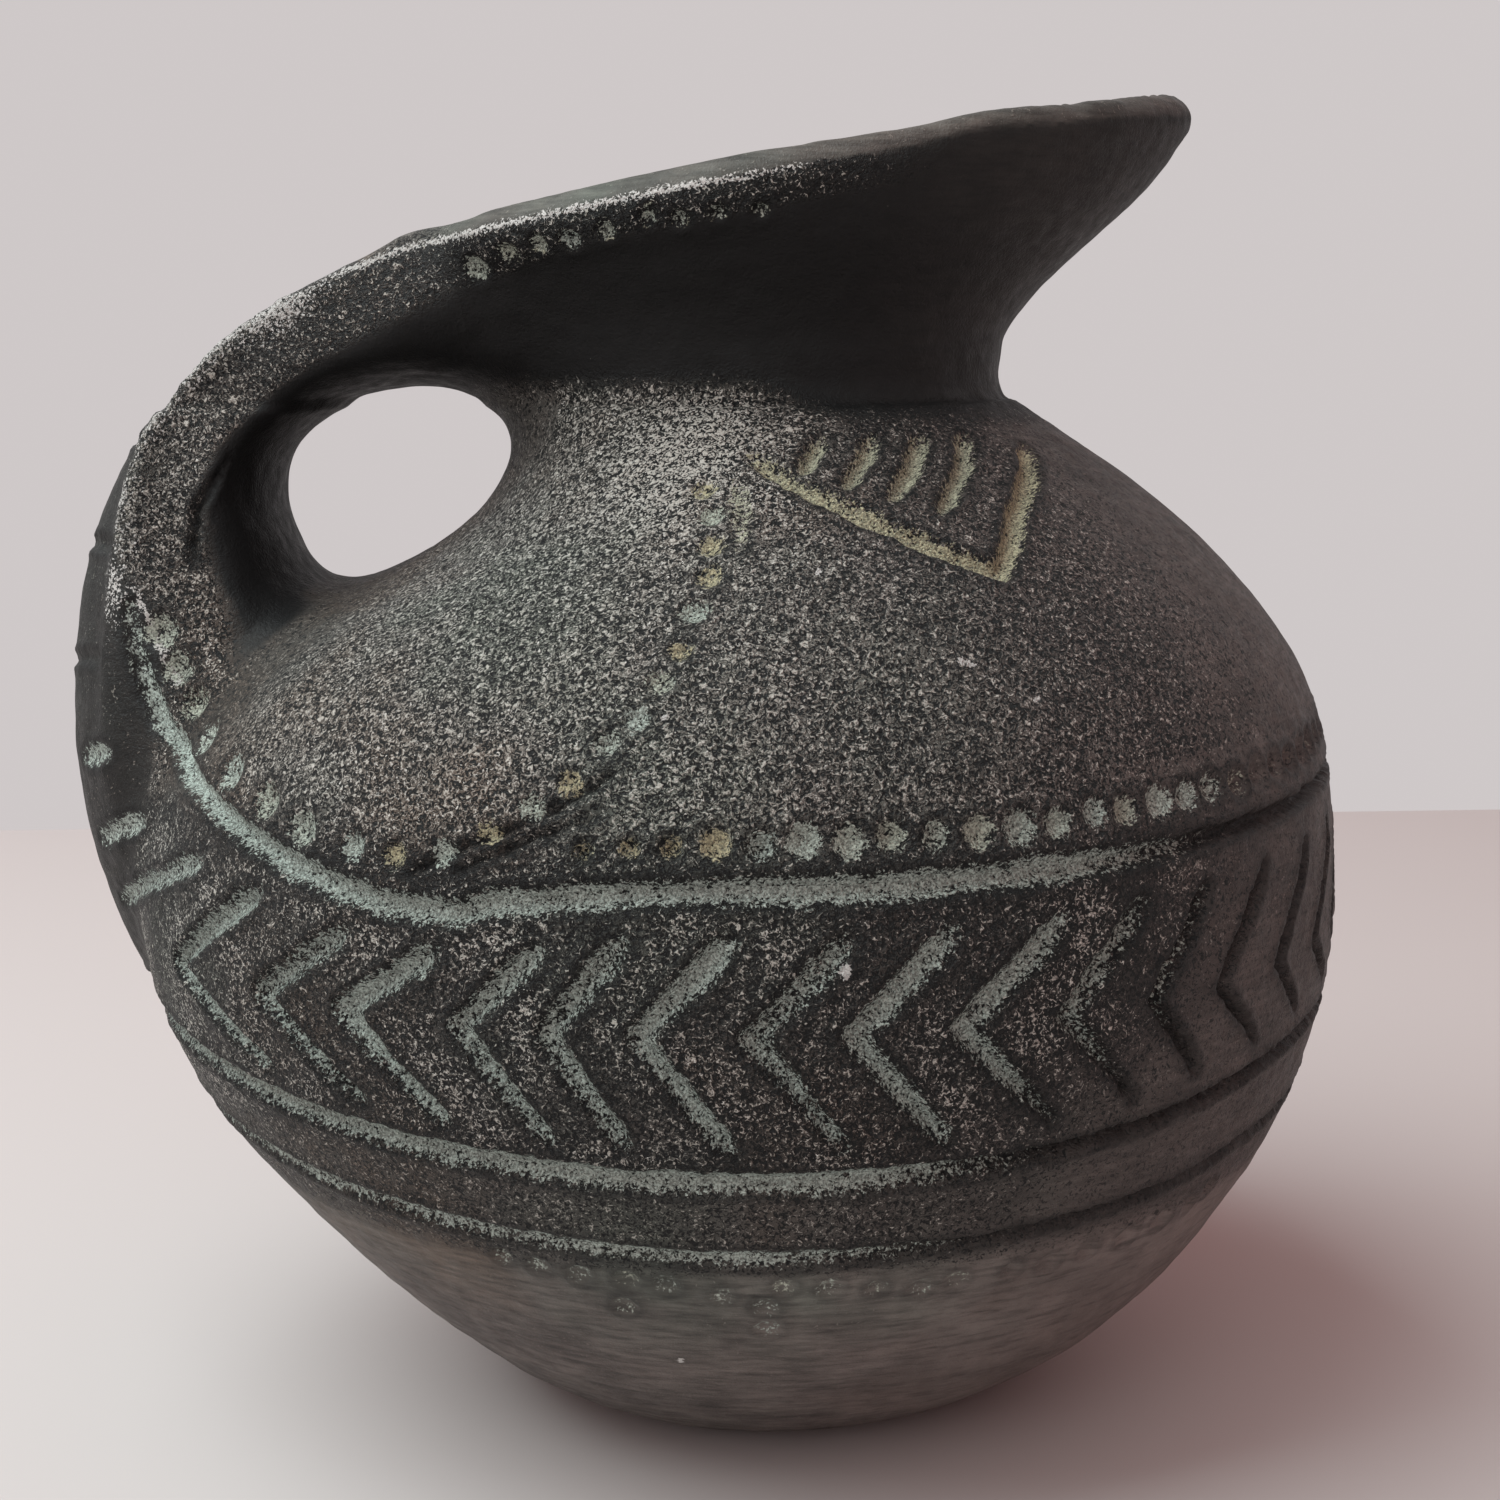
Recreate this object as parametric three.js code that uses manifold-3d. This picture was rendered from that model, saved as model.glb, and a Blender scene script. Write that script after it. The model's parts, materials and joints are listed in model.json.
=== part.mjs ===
// A hand-built ceramic jug: a round-bottomed belly drawn out towards the handle, a short neck,
// a long flared mouth that rises to a beaked spout, and a thick strap handle.
// Millimetres, +Z up. The origin is the centre of the foot, on the table.
// +X points along the spout, and the handle is at -X. The jug is mirrored about its XZ plane.

import * as THREE from 'three';
import { mergeVertices } from 'three/addons/utils/BufferGeometryUtils.js';
import Module from 'manifold-3d';

const wasm = await Module();
wasm.setup();

// Body sizes
const footRadius = 24;
const bellyRadius = 67.4;
const bellyHeight = 62;
const neckRadius = 27.8;
const neckRear = 3.2;
const neckRearDepth = 5.7;
const neckFootHeight = 120.5;
const rearSwell = 9.5;
const rearHollow = 16.3;
const rearHollowShare = 0.727;
const rearHollowSpread = 10;
const wall = 6;
const mostSlantedWall = 12;
const floorThickness = 6;

// Curves of the body: an exponent of the lower wall, then two of the shoulder
const lowerWallPower = 0.72;
const shoulderBend = 2.8;
const shoulderPower = 1.15;

// Heights of the seams where the clay was joined, and the gap left at each seam
const bowlSeamBelowBelly = 31;
const bandSeamAboveBelly = 22;
const collarUnderNeck = 1;
const neckHeight = 5.5;
const seamGap = 0.3;

// Mouth sizes
const spoutReach = 50.4;
const rearReach = 44;
const mouthHalfWidth = 35;
const rimAboveNeck = 16.5;
const rimRise = 15.5;
const lipInset = 3.4;
const lipRise = 3.4;
const lipCrown = 0.6;
const spoutPinch = 1.45;
const flareStart = 0.4;

// Handle sizes: thickness at the rim, where it reaches down onto the collar, at its thinnest, at the
// root and at its end, and half widths at the same places
const strapPastCollar = 4.3;
const strapAtRim = rearReach - neckRadius + strapPastCollar;
const strapThin = 12.3;
const strapAtRoot = 34;
const strapAtEnd = 14;
const strapHalfAtRim = 18;
const strapHalfThin = 14;
const strapHalfAtRoot = 22;
const strapHalfAtEnd = 12;
const strapSquareness = 2.6;
const rootSeamShare = 0.6;

// Incised ornament: grooves in the clay, and the pale paste that fills them
const grooveWidth = 2.4;
const grooveDepth = 1.4;
const pasteClearance = 0.3;
const pasteThickness = 0.7;
const upperLineAboveBelly = 12.5;
const upperLineRise = 3;
const upperLineEnd = 148;
const upperLineSag = 3;
const upperLineSagAngle = 118;
const upperLineSagSpread = 13;
const lowerLineBelowBelly = 17.8;
const lowerLineRise = 7;
const secondLineBelowBelly = 26.8;
const secondLineRise = 6;
const chevronApexBelowBelly = 2;
const chevronTopBelowLine = 5;
const chevronFootAboveLine = 3.6;
const triangleLeft = 94;
const triangleRight = 38;
const trianglePoint = 62.5;
const triangleTopBelowNeck = 6.1;
const triangleDepth = 12;
const hatchStrokes = 4;
const hatchTopRise = 1.6;
const hatchTopStart = 0.225;
const hatchTopPitch = 0.18;
const hatchFootStart = 0.27;
const hatchFootPitch = 0.205;
const hatchFootDrop = 0.55;

// Each chevron of a side, from the handle to the spout: the angle of its apex and the reach of its
// arms, in degrees round the body. The spacing is a hand's, not even.
const chevronAngles = [
  [149.7, 14], [135.2, 10], [125.7, 8.7], [114.8, 6.6], [107.6, 5.6], [100.6, 6.6],
  [92.4, 7.6], [84.3, 8.4], [75, 9.2], [65.3, 8], [55.7, 6.4], [47.4, 7.2],
  [37.6, 6.4], [28.5, 7], [19.5, 7], [10.5, 7.4],
];

// Faces round the body, round the handle and along it
const bodySides = 48;
const strapSides = 16;
const strapSteps = 20;

const seamHeights = {
  floor: floorThickness,
  bowl: bellyHeight - bowlSeamBelowBelly,
  band: bellyHeight + bandSeamAboveBelly,
  neck: neckFootHeight - collarUnderNeck,
  mouth: neckFootHeight + neckHeight,
};

const clay = new THREE.MeshStandardMaterial({ color: 0x2f2d2b, roughness: 0.62, metalness: 0 });
const darkClay = new THREE.MeshStandardMaterial({ color: 0x242220, roughness: 0.7, metalness: 0 });
const handleClay = new THREE.MeshStandardMaterial({ color: 0x3a3836, roughness: 0.5, metalness: 0 });
const paste = new THREE.MeshStandardMaterial({ color: 0x8b8f7c, roughness: 0.95, metalness: 0 });
const yellowPaste = new THREE.MeshStandardMaterial({ color: 0x8c8662, roughness: 0.95, metalness: 0 });

// Front half of a section: the radius of the body at a height, foot to neck
function frontRadius(z) {
  if (z >= neckFootHeight) {
    return neckRadius;
  }
  if (z <= bellyHeight) {
    const below = 1 - Math.max(z, 0) / bellyHeight;
    return footRadius + (bellyRadius - footRadius) * (1 - below ** 2) ** lowerWallPower;
  }
  const above = (z - bellyHeight) / (neckFootHeight - bellyHeight);
  return neckRadius + (bellyRadius - neckRadius) * (1 - above ** shoulderBend) ** shoulderPower;
}

// Rear half of a section: swollen at the belly and hollowed at the shoulder, under the handle
function rearRadius(z) {
  const span = z < bellyHeight ? bellyHeight : neckFootHeight - bellyHeight;
  const away = Math.min(Math.abs(z - bellyHeight) / span, 1);
  const swell = rearSwell * Math.cos(away * Math.PI / 2) ** 2;
  const hollowHeight = THREE.MathUtils.lerp(bellyHeight, neckFootHeight, rearHollowShare);
  const fromHollow = (z - hollowHeight) / rearHollowSpread;
  const neckFade = THREE.MathUtils.smoothstep(seamHeights.mouth - z, 0, neckHeight + 1);
  const hollow = rearHollow * Math.exp(-(fromHollow ** 2)) * neckFade;
  const neckStart = neckFootHeight - neckRearDepth;
  const atNeck = neckRear * THREE.MathUtils.smoothstep(z, neckStart, neckFootHeight);
  return frontRadius(z) + swell - hollow + atNeck;
}

// A radius at a height, drawn in by a depth that is square to the wall rather than level
function drawnIn(radius, z, depth) {
  const step = 0.5;
  const slope = (radius(z + step) - radius(z - step)) / (2 * step);
  const slant = Math.min(Math.sqrt(1 + slope ** 2), mostSlantedWall / wall);
  return radius(z) - depth * slant;
}

// A point of the body: angle from the spout in radians, height, depth under the outer face
function bodyPoint(angle, z, depth) {
  const cosine = Math.cos(angle);
  const along = drawnIn(cosine > 0 ? frontRadius : rearRadius, z, depth);
  const across = drawnIn(frontRadius, z, depth);
  return new THREE.Vector3(along * cosine, across * Math.sin(angle), z);
}

function bodyNormal(angle, z) {
  const step = 0.01;
  const round = bodyPoint(angle + step, z, 0).sub(bodyPoint(angle - step, z, 0));
  const up = bodyPoint(angle, z + step, 0).sub(bodyPoint(angle, z - step, 0));
  return round.cross(up).normalize();
}

// Moves every vertex of a plain solid to its real place and closes the seams between faces
function bend(geometry, place) {
  const positions = geometry.getAttribute('position');
  const from = new THREE.Vector3();
  for (let i = 0; i < positions.count; i += 1) {
    from.fromBufferAttribute(positions, i);
    const to = place(from);
    positions.setXYZ(i, to.x, to.y, to.z);
  }
  geometry.deleteAttribute('normal');
  geometry.deleteAttribute('uv');
  return mergeVertices(geometry, 1e-4);
}

// A ring round the body. Its profile lists depth and height, and lift moves it by angle.
function bodyRing(profile, lift = () => 0) {
  const rimOffset = 1000;
  const points = profile.map(([depth, z]) => new THREE.Vector2(rimOffset - depth, z));
  points.push(points[0].clone());
  const ring = new THREE.LatheGeometry(points, bodySides);
  return bend(ring, (p) => {
    const angle = Math.atan2(p.x, p.z);
    return bodyPoint(angle, p.y + lift(angle), rimOffset - Math.hypot(p.x, p.z));
  });
}

// A wall between two heights, up its outer face and down its inner one
function wallProfile(low, high, outerSteps, innerSteps) {
  const profile = [];
  for (let i = 0; i <= outerSteps; i += 1) {
    profile.push([0, THREE.MathUtils.lerp(low, high, i / outerSteps)]);
  }
  for (let i = 0; i <= innerSteps; i += 1) {
    profile.push([wall, THREE.MathUtils.lerp(high, low, i / innerSteps)]);
  }
  return profile;
}

function toSolid(geometry) {
  const vertProperties = new Float32Array(geometry.getAttribute('position').array);
  const triVerts = new Uint32Array(geometry.getIndex().array);
  return new wasm.Manifold(new wasm.Mesh({ numProp: 3, vertProperties, triVerts }));
}

function toGeometry(solid) {
  const mesh = solid.getMesh();
  const geometry = new THREE.BufferGeometry();
  geometry.setAttribute('position', new THREE.BufferAttribute(mesh.vertProperties, 3));
  geometry.setIndex(new THREE.BufferAttribute(mesh.triVerts, 1));
  return geometry;
}

const jug = new THREE.Group();

function addPiece(name, geometry, material) {
  const mesh = new THREE.Mesh(geometry, material);
  mesh.name = name;
  jug.add(mesh);
}

// Lines and strokes lie on the body's surface, along stations of angle and height in degrees and
// millimetres. Each is a flat bar with mitred corners, from low to high over the surface.
function ribbon(stations, halfWidth, low, high) {
  const legs = stations.length - 1;
  const bar = new THREE.BoxGeometry(legs, 2 * halfWidth, high - low, legs, 1, 1);
  const places = stations.map(([angle, z]) => bodyPoint(THREE.MathUtils.degToRad(angle), z, 0));
  const normals = stations.map(([angle, z]) => bodyNormal(THREE.MathUtils.degToRad(angle), z));
  const sides = places.map((place, i) => {
    const before = places[Math.max(i - 1, 0)];
    const after = places[Math.min(i + 1, legs)];
    const into = place.clone().sub(before).normalize();
    const out = after.clone().sub(place).normalize();
    const heading = into.clone().add(out).normalize();
    const mitre = i > 0 && i < legs ? heading.dot(into) : 1;
    return normals[i].clone().cross(heading).normalize().divideScalar(mitre);
  });
  return bend(bar, (p) => {
    const i = Math.round(p.x + legs / 2);
    const place = places[i].clone().addScaledVector(sides[i], p.y);
    return place.addScaledVector(normals[i], p.z > 0 ? high : low);
  });
}

const pasteLow = pasteClearance - grooveDepth;
const pasteHigh = pasteLow + pasteThickness;
const pasteHalf = grooveWidth / 2 - pasteClearance;
const cutAbove = 1;

// A stroke's groove, and the paste that lies in it, a little shorter at both ends
function strokeGroove(stations) {
  return toSolid(ribbon(stations, grooveWidth / 2, -grooveDepth, cutAbove));
}

function strokePaste(stations) {
  const last = stations.length - 1;
  const pull = (end, next) => {
    const span = bodyPoint(THREE.MathUtils.degToRad(end[0]), end[1], 0)
      .distanceTo(bodyPoint(THREE.MathUtils.degToRad(next[0]), next[1], 0));
    const share = pasteClearance / span;
    return [end[0] + (next[0] - end[0]) * share, end[1] + (next[1] - end[1]) * share];
  };
  const shorter = [...stations];
  shorter[0] = pull(stations[0], stations[1]);
  shorter[last] = pull(stations[last], stations[last - 1]);
  return ribbon(shorter, pasteHalf, pasteLow, pasteHigh);
}

// A stroke that bends only where it is given a corner, with a station halfway along each leg
function stroke(corners) {
  const stations = [corners[0]];
  for (let i = 1; i < corners.length; i += 1) {
    const [a, b] = [corners[i - 1], corners[i]];
    stations.push([(a[0] + b[0]) / 2, (a[1] + b[1]) / 2], b);
  }
  return stations;
}

// Each line rises a little towards the spout and towards the handle, and the upper one sags on its way
const lineLift = (rise) => (angle) => rise * Math.cos(angle) ** 2;
const upperLine = bellyHeight + upperLineAboveBelly;
const lowerLine = bellyHeight - lowerLineBelowBelly;
const secondLine = bellyHeight - secondLineBelowBelly;

function lineRing(z, rise, halfWidth, low, high) {
  const [foot, top] = [z - halfWidth, z + halfWidth];
  return bodyRing([[-high, foot], [-high, top], [-low, top], [-low, foot]], lineLift(rise));
}

const lineGroove = (z, rise) => toSolid(lineRing(z, rise, grooveWidth / 2, -grooveDepth, cutAbove));
const linePaste = (z, rise) => lineRing(z, rise, pasteHalf, pasteLow, pasteHigh);

function upperLineHeight(angle) {
  const fromSag = (Math.abs(angle) - upperLineSagAngle) / upperLineSagSpread;
  const lift = lineLift(upperLineRise)(THREE.MathUtils.degToRad(angle));
  return upperLine + lift - upperLineSag * Math.exp(-(fromSag ** 2));
}

// The upper line stops short of the handle's root on both sides
const upperStations = [];
const upperSteps = 40;
for (let i = 0; i <= upperSteps; i += 1) {
  const angle = upperLineEnd * (2 * i / upperSteps - 1);
  upperStations.push([angle, upperLineHeight(angle)]);
}

// Chevrons point at the handle. The near side is the one at -Y, where angles are negative.
function chevron(apexAngle, arm, side) {
  const end = apexAngle - arm;
  const top = upperLineHeight(end) - chevronTopBelowLine;
  const lift = lineLift(lowerLineRise)(THREE.MathUtils.degToRad(end));
  const foot = lowerLine + lift + chevronFootAboveLine;
  const apex = bellyHeight - chevronApexBelowBelly;
  return [[side * end, top], [side * apexAngle, apex], [side * end, foot]];
}

const chevrons = chevronAngles.flatMap(([apexAngle, arm], i) => {
  const number = String(i + 1).padStart(2, '0');
  return [
    [`chevron_paste_near_${number}`, chevron(apexAngle, arm, -1)],
    [`chevron_paste_far_${number}`, chevron(apexAngle, arm, 1)],
  ];
});

// A triangle hangs from the neck on each side, point down, with strokes beside its front edge
const triangleTop = neckFootHeight - triangleTopBelowNeck;
const triangles = [];
for (const [sideName, side] of [['near', -1], ['far', 1]]) {
  const point = [side * trianglePoint, triangleTop - triangleDepth];
  const left = [side * triangleLeft, triangleTop];
  const right = [side * triangleRight, triangleTop];
  triangles.push([`triangle_paste_${sideName}`, stroke([left, point, right])]);
  for (let i = 0; i < hatchStrokes; i += 1) {
    const topShare = hatchTopStart + hatchTopPitch * i;
    const footShare = hatchFootStart + hatchFootPitch * i;
    const topAngle = THREE.MathUtils.lerp(triangleLeft, triangleRight, topShare);
    const footAngle = THREE.MathUtils.lerp(triangleLeft, trianglePoint, footShare);
    const top = [side * topAngle, triangleTop + hatchTopRise];
    const foot = [side * footAngle, triangleTop - triangleDepth * footShare * hatchFootDrop];
    triangles.push([`hatch_paste_${sideName}_${i + 1}`, stroke([top, foot])]);
  }
}

// The foot is a disc of clay: flat under, dished out to the wall's own curve at its edge
function footDisc() {
  const top = seamHeights.floor - seamGap / 2;
  const steps = 4;
  const points = [new THREE.Vector2(0, 0)];
  for (let i = 0; i <= steps; i += 1) {
    points.push(new THREE.Vector2(1, top * i / steps));
  }
  points.push(new THREE.Vector2(0, top));
  return bend(new THREE.LatheGeometry(points, bodySides), (p) => {
    const share = Math.hypot(p.x, p.z);
    const edge = bodyPoint(Math.atan2(p.x, p.z), p.y, 0);
    return new THREE.Vector3(edge.x * share, edge.y * share, p.y);
  });
}

function ringWall(low, high, outerSteps, innerSteps) {
  return bodyRing(wallProfile(low + seamGap / 2, high - seamGap / 2, outerSteps, innerSteps));
}

// The mouth's outer face, from the neck (0) to the rim (1), at an angle from the spout
function mouthOuter(angle, share) {
  const cosine = Math.cos(angle);
  const sine = Math.sin(angle);
  const rimX = cosine > 0 ? spoutReach * cosine : rearReach * cosine;
  const rimY = mouthHalfWidth * Math.sign(sine) * Math.abs(sine) ** (cosine > 0 ? spoutPinch : 1);
  const rimLength = spoutReach + rearReach;
  const rimZ = seamHeights.mouth + rimAboveNeck + rimRise * rimX / rimLength;
  const flare = flareStart * share + (1 - flareStart) * THREE.MathUtils.smoothstep(share, 0, 1);
  return new THREE.Vector3(
    THREE.MathUtils.lerp((cosine > 0 ? neckRadius : neckRadius + neckRear) * cosine, rimX, flare),
    THREE.MathUtils.lerp(neckRadius * sine, rimY, flare),
    THREE.MathUtils.lerp(seamHeights.mouth + seamGap / 2, rimZ, share),
  );
}

// Through the wall: 0 is the outer face and 1 the inner, which ends higher, at the lip's crest
function mouthPoint(angle, share, through) {
  const point = mouthOuter(angle, share);
  const inset = THREE.MathUtils.lerp(wall, lipInset, share) * through;
  const crown = share === 1 ? lipCrown * Math.sin(through * Math.PI) : 0;
  const reach = Math.hypot(point.x, point.y);
  const scale = (reach - inset) / reach;
  const rise = lipRise * share * through + crown;
  return new THREE.Vector3(point.x * scale, point.y * scale, point.z + rise);
}

function flaredMouth() {
  const outerSteps = 7;
  const innerSteps = 4;
  const offset = 2;
  const crest = 0.5;
  const points = [];
  for (let i = 0; i <= outerSteps; i += 1) {
    points.push(new THREE.Vector2(offset, i / outerSteps));
  }
  points.push(new THREE.Vector2(offset - crest, 1));
  for (let i = innerSteps; i >= 0; i -= 1) {
    points.push(new THREE.Vector2(offset - 1, i / innerSteps));
  }
  points.push(points[0].clone());
  return bend(new THREE.LatheGeometry(points, bodySides), (p) => {
    const share = Math.abs(p.y - 1) < 1e-6 ? 1 : p.y;
    return mouthPoint(Math.atan2(p.x, p.z), share, offset - Math.hypot(p.x, p.z));
  });
}

// The full outside of the body and of the mouth, each a gap larger, to trim the handle against
function bodyEnvelope() {
  const steps = 60;
  const points = [new THREE.Vector2(0, -seamGap)];
  for (let i = 0; i <= steps; i += 1) {
    points.push(new THREE.Vector2(1, THREE.MathUtils.lerp(0, seamHeights.mouth + seamGap, i / steps)));
  }
  points.push(new THREE.Vector2(0, seamHeights.mouth + seamGap));
  return toSolid(bend(new THREE.LatheGeometry(points, bodySides), (p) => {
    const share = Math.hypot(p.x, p.z);
    const edge = bodyPoint(Math.atan2(p.x, p.z), p.y, -seamGap);
    return new THREE.Vector3(edge.x * share, edge.y * share, p.y);
  }));
}

function mouthEnvelope() {
  const steps = 8;
  const points = [new THREE.Vector2(0, 0)];
  for (let i = 0; i <= steps; i += 1) {
    points.push(new THREE.Vector2(1, i / steps));
  }
  const cover = lipRise + wall;
  points.push(new THREE.Vector2(1, 1 + cover), new THREE.Vector2(0, 1 + cover));
  return toSolid(bend(new THREE.LatheGeometry(points, bodySides), (p) => {
    const share = Math.hypot(p.x, p.z);
    const edge = mouthOuter(Math.atan2(p.x, p.z), Math.min(p.y, 1));
    const reach = Math.hypot(edge.x, edge.y);
    const scale = share * (reach + seamGap) / reach;
    const above = Math.max(p.y - 1, 0);
    const below = p.y === 0 ? seamGap : 0;
    return new THREE.Vector3(edge.x * scale, edge.y * scale, edge.z + above - below);
  }));
}

// The handle's crown line. Each point is a share of the way from the rim's rear end to the belly's
// rear, across and down, so that the handle follows both of them.
const crownShares = [
  [-0.365, -0.064], [-0.015, -0.041], [0.289, 0.031], [0.59, 0.123], [0.86, 0.23], [1.07, 0.37],
  [1.182, 0.509], [1.222, 0.659], [1.219, 0.809], [1.146, 0.986], [1.04, 1.123], [0.942, 1.218],
];
const rimRear = new THREE.Vector3(-rearReach, 0, mouthOuter(Math.PI, 1).z);
const bellyRear = new THREE.Vector3(-(bellyRadius + rearSwell), 0, bellyHeight);
const crownLine = new THREE.CatmullRomCurve3(crownShares.map(([across, down]) => new THREE.Vector3(
  THREE.MathUtils.lerp(rimRear.x, bellyRear.x, across),
  0,
  THREE.MathUtils.lerp(rimRear.z, bellyRear.z, down),
)));

// Piecewise smooth values along the handle, from stations of share and size
function along(stations, share) {
  let i = 1;
  while (i < stations.length - 1 && share > stations[i][0]) {
    i += 1;
  }
  const [before, after] = [stations[i - 1], stations[i]];
  const way = THREE.MathUtils.smoothstep(share, before[0], after[0]);
  return THREE.MathUtils.lerp(before[1], after[1], way);
}

const strapThickness = [
  [0, strapAtRim], [0.22, strapThin], [0.29, strapThin],
  [0.53, strapAtRoot], [0.8, strapAtRoot], [1, strapAtEnd],
];
const strapHalf = [
  [0, strapHalfAtRim], [0.35, strapHalfThin], [0.75, strapHalfAtRoot], [1, strapHalfAtEnd],
];

function wholeStrap() {
  const yAxis = new THREE.Vector3(0, 1, 0);
  const power = 2 / strapSquareness;
  const soften = (value) => Math.sign(value) * Math.abs(value) ** power;
  return bend(new THREE.CylinderGeometry(1, 1, 1, strapSides, strapSteps), (p) => {
    const share = 0.5 - p.y;
    const crown = crownLine.getPoint(share);
    const inward = crownLine.getTangent(share).cross(yAxis).normalize();
    const half = along(strapThickness, share) / 2;
    const centre = crown.clone().addScaledVector(inward, half);
    const radius = Math.hypot(p.x, p.z);
    const angle = Math.atan2(p.z, p.x);
    centre.addScaledVector(inward, -radius * half * soften(Math.cos(angle)));
    return centre.addScaledVector(yAxis, radius * along(strapHalf, share) * soften(Math.sin(angle)));
  });
}

const strapSolid = toSolid(wholeStrap()).subtract(bodyEnvelope()).subtract(mouthEnvelope());

// The strap above its root, and the root below it, parted level at a seam
const halfSpace = 200;
const rootSeam = THREE.MathUtils.lerp(bellyHeight, neckFootHeight, rootSeamShare);

function slab(low, high) {
  const box = new THREE.BoxGeometry(2 * halfSpace, 2 * halfSpace, high - low);
  box.translate(0, 0, (low + high) / 2);
  return toSolid(bend(box, (p) => p.clone()));
}

const bandGrooves = [
  strokeGroove(upperStations),
  lineGroove(lowerLine, lowerLineRise),
  lineGroove(secondLine, secondLineRise),
  ...chevrons.map(([, stations]) => strokeGroove(stations)),
];
const cutGrooves = (geometry, grooves) => {
  const cut = grooves.reduce((solid, groove) => solid.subtract(groove), toSolid(geometry));
  return toGeometry(cut);
};

const domeGrooves = triangles.map(([, stations]) => strokeGroove(stations));
const bandWall = ringWall(seamHeights.bowl, seamHeights.band, 6, 3);
const domeWall = ringWall(seamHeights.band, seamHeights.neck, 7, 4);

addPiece('foot_disc', footDisc(), darkClay);
addPiece('lower_bowl', ringWall(seamHeights.floor, seamHeights.bowl, 5, 3), clay);
addPiece('belly_band', cutGrooves(bandWall, bandGrooves), darkClay);
addPiece('shoulder_dome', cutGrooves(domeWall, domeGrooves), clay);
addPiece('neck_collar', ringWall(seamHeights.neck, seamHeights.mouth, 5, 1), darkClay);
addPiece('flared_mouth', flaredMouth(), darkClay);
addPiece('handle_strap', toGeometry(
  strapSolid.intersect(slab(rootSeam + seamGap / 2, rootSeam + halfSpace)),
), handleClay);
addPiece('handle_root', toGeometry(
  strapSolid.intersect(slab(rootSeam - halfSpace, rootSeam - seamGap / 2)),
), handleClay);
addPiece('upper_line_paste', strokePaste(upperStations), paste);
addPiece('lower_line_paste', linePaste(lowerLine, lowerLineRise), paste);
addPiece('second_line_paste', linePaste(secondLine, secondLineRise), paste);
for (const [name, stations] of chevrons) {
  addPiece(name, strokePaste(stations), paste);
}
for (const [name, stations] of triangles) {
  addPiece(name, strokePaste(stations), yellowPaste);
}

export default jug;
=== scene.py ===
# %% [markdown]
# # A smoke-fired jug with a strap handle
# This lesson dresses a jug that was built by hand from coils of coarse clay, burnished, incised with
# bands and chevrons, rubbed with pale paste and fired in smoke.
# Its frame, made of solid clay pieces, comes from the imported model, and nothing else is read.
# Everything is in metres: the foot's centre is the origin, the spout points along +X and the handle
# lies at -X. The camera looks along +Y, so the near side of the jug is its -Y side.

# %% Load the frame
import json
import math
import bmesh
import bpy
import numpy as np
from mathutils import Matrix, Vector, noise
from mathutils.bvhtree import BVHTree
from mathutils.kdtree import KDTree

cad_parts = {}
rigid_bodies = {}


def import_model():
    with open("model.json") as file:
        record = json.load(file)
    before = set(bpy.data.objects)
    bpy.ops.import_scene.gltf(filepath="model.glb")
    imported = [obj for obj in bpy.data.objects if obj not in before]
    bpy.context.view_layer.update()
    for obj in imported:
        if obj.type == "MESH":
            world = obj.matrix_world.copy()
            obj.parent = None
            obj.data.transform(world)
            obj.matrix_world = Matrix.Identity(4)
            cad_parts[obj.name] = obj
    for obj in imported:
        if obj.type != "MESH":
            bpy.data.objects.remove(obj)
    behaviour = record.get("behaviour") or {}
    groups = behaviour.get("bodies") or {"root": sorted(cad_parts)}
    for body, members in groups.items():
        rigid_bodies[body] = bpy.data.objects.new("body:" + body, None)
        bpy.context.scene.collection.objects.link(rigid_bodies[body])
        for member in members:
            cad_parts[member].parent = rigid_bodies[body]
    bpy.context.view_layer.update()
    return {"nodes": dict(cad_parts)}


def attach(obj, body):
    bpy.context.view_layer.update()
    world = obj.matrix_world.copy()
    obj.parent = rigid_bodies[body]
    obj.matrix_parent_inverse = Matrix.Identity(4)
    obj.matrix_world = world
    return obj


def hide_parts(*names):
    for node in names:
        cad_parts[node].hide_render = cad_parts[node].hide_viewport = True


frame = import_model()
print("nodes in the frame:", len(frame["nodes"]))

# %% [markdown]
# ## The camera
# The photograph was taken from close by, a little above the middle of the jug, with the camera
# tilted down and turned by less than a degree. A lens that covers 18 centimetres at the jug gives
# the same strong perspective: the rim rises and the belly swells towards us.

# %% Camera
mm = 0.001


def in_scene(data):
    obj = bpy.data.objects.new(data.name, data)
    bpy.context.scene.collection.objects.link(obj)
    return obj


camera_data = bpy.data.cameras.new("camera")
camera_data.sensor_width = 36
camera_data.lens = 57.6
camera_data.clip_start = 0.01
camera = in_scene(camera_data)
camera_place = Vector((-2.9 * mm, -290.5 * mm, 126 * mm))
tilt_down = math.radians(9.578)
turn = math.radians(-0.8)
camera.matrix_world = (
    Matrix.Translation(camera_place)
    @ Matrix.Rotation(math.pi / 2 - tilt_down, 4, "X")
    @ Matrix.Rotation(turn, 4, "Z")
)
bpy.context.scene.camera = camera
bpy.context.scene.view_settings.view_transform = "Standard"
print("camera at", tuple(round(v, 4) for v in camera.location))

# %% [markdown]
# ## The floor, the air and the lamps
# A pale matt board lies under the jug and ends a hand's breadth behind it, against a pale wall.
# The wall can be the world's own colour, seen by the camera and in reflections, while a dimmer,
# redder air lights the jug from all sides. A large soft lamp hangs overhead, a little to the
# left, and a weak one fills the near side. Small functions make the nodes, so that a material
# reads like a sum.

# %% Floor
floor_back = 343 * mm
floor_reach = 1600 * mm


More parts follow.
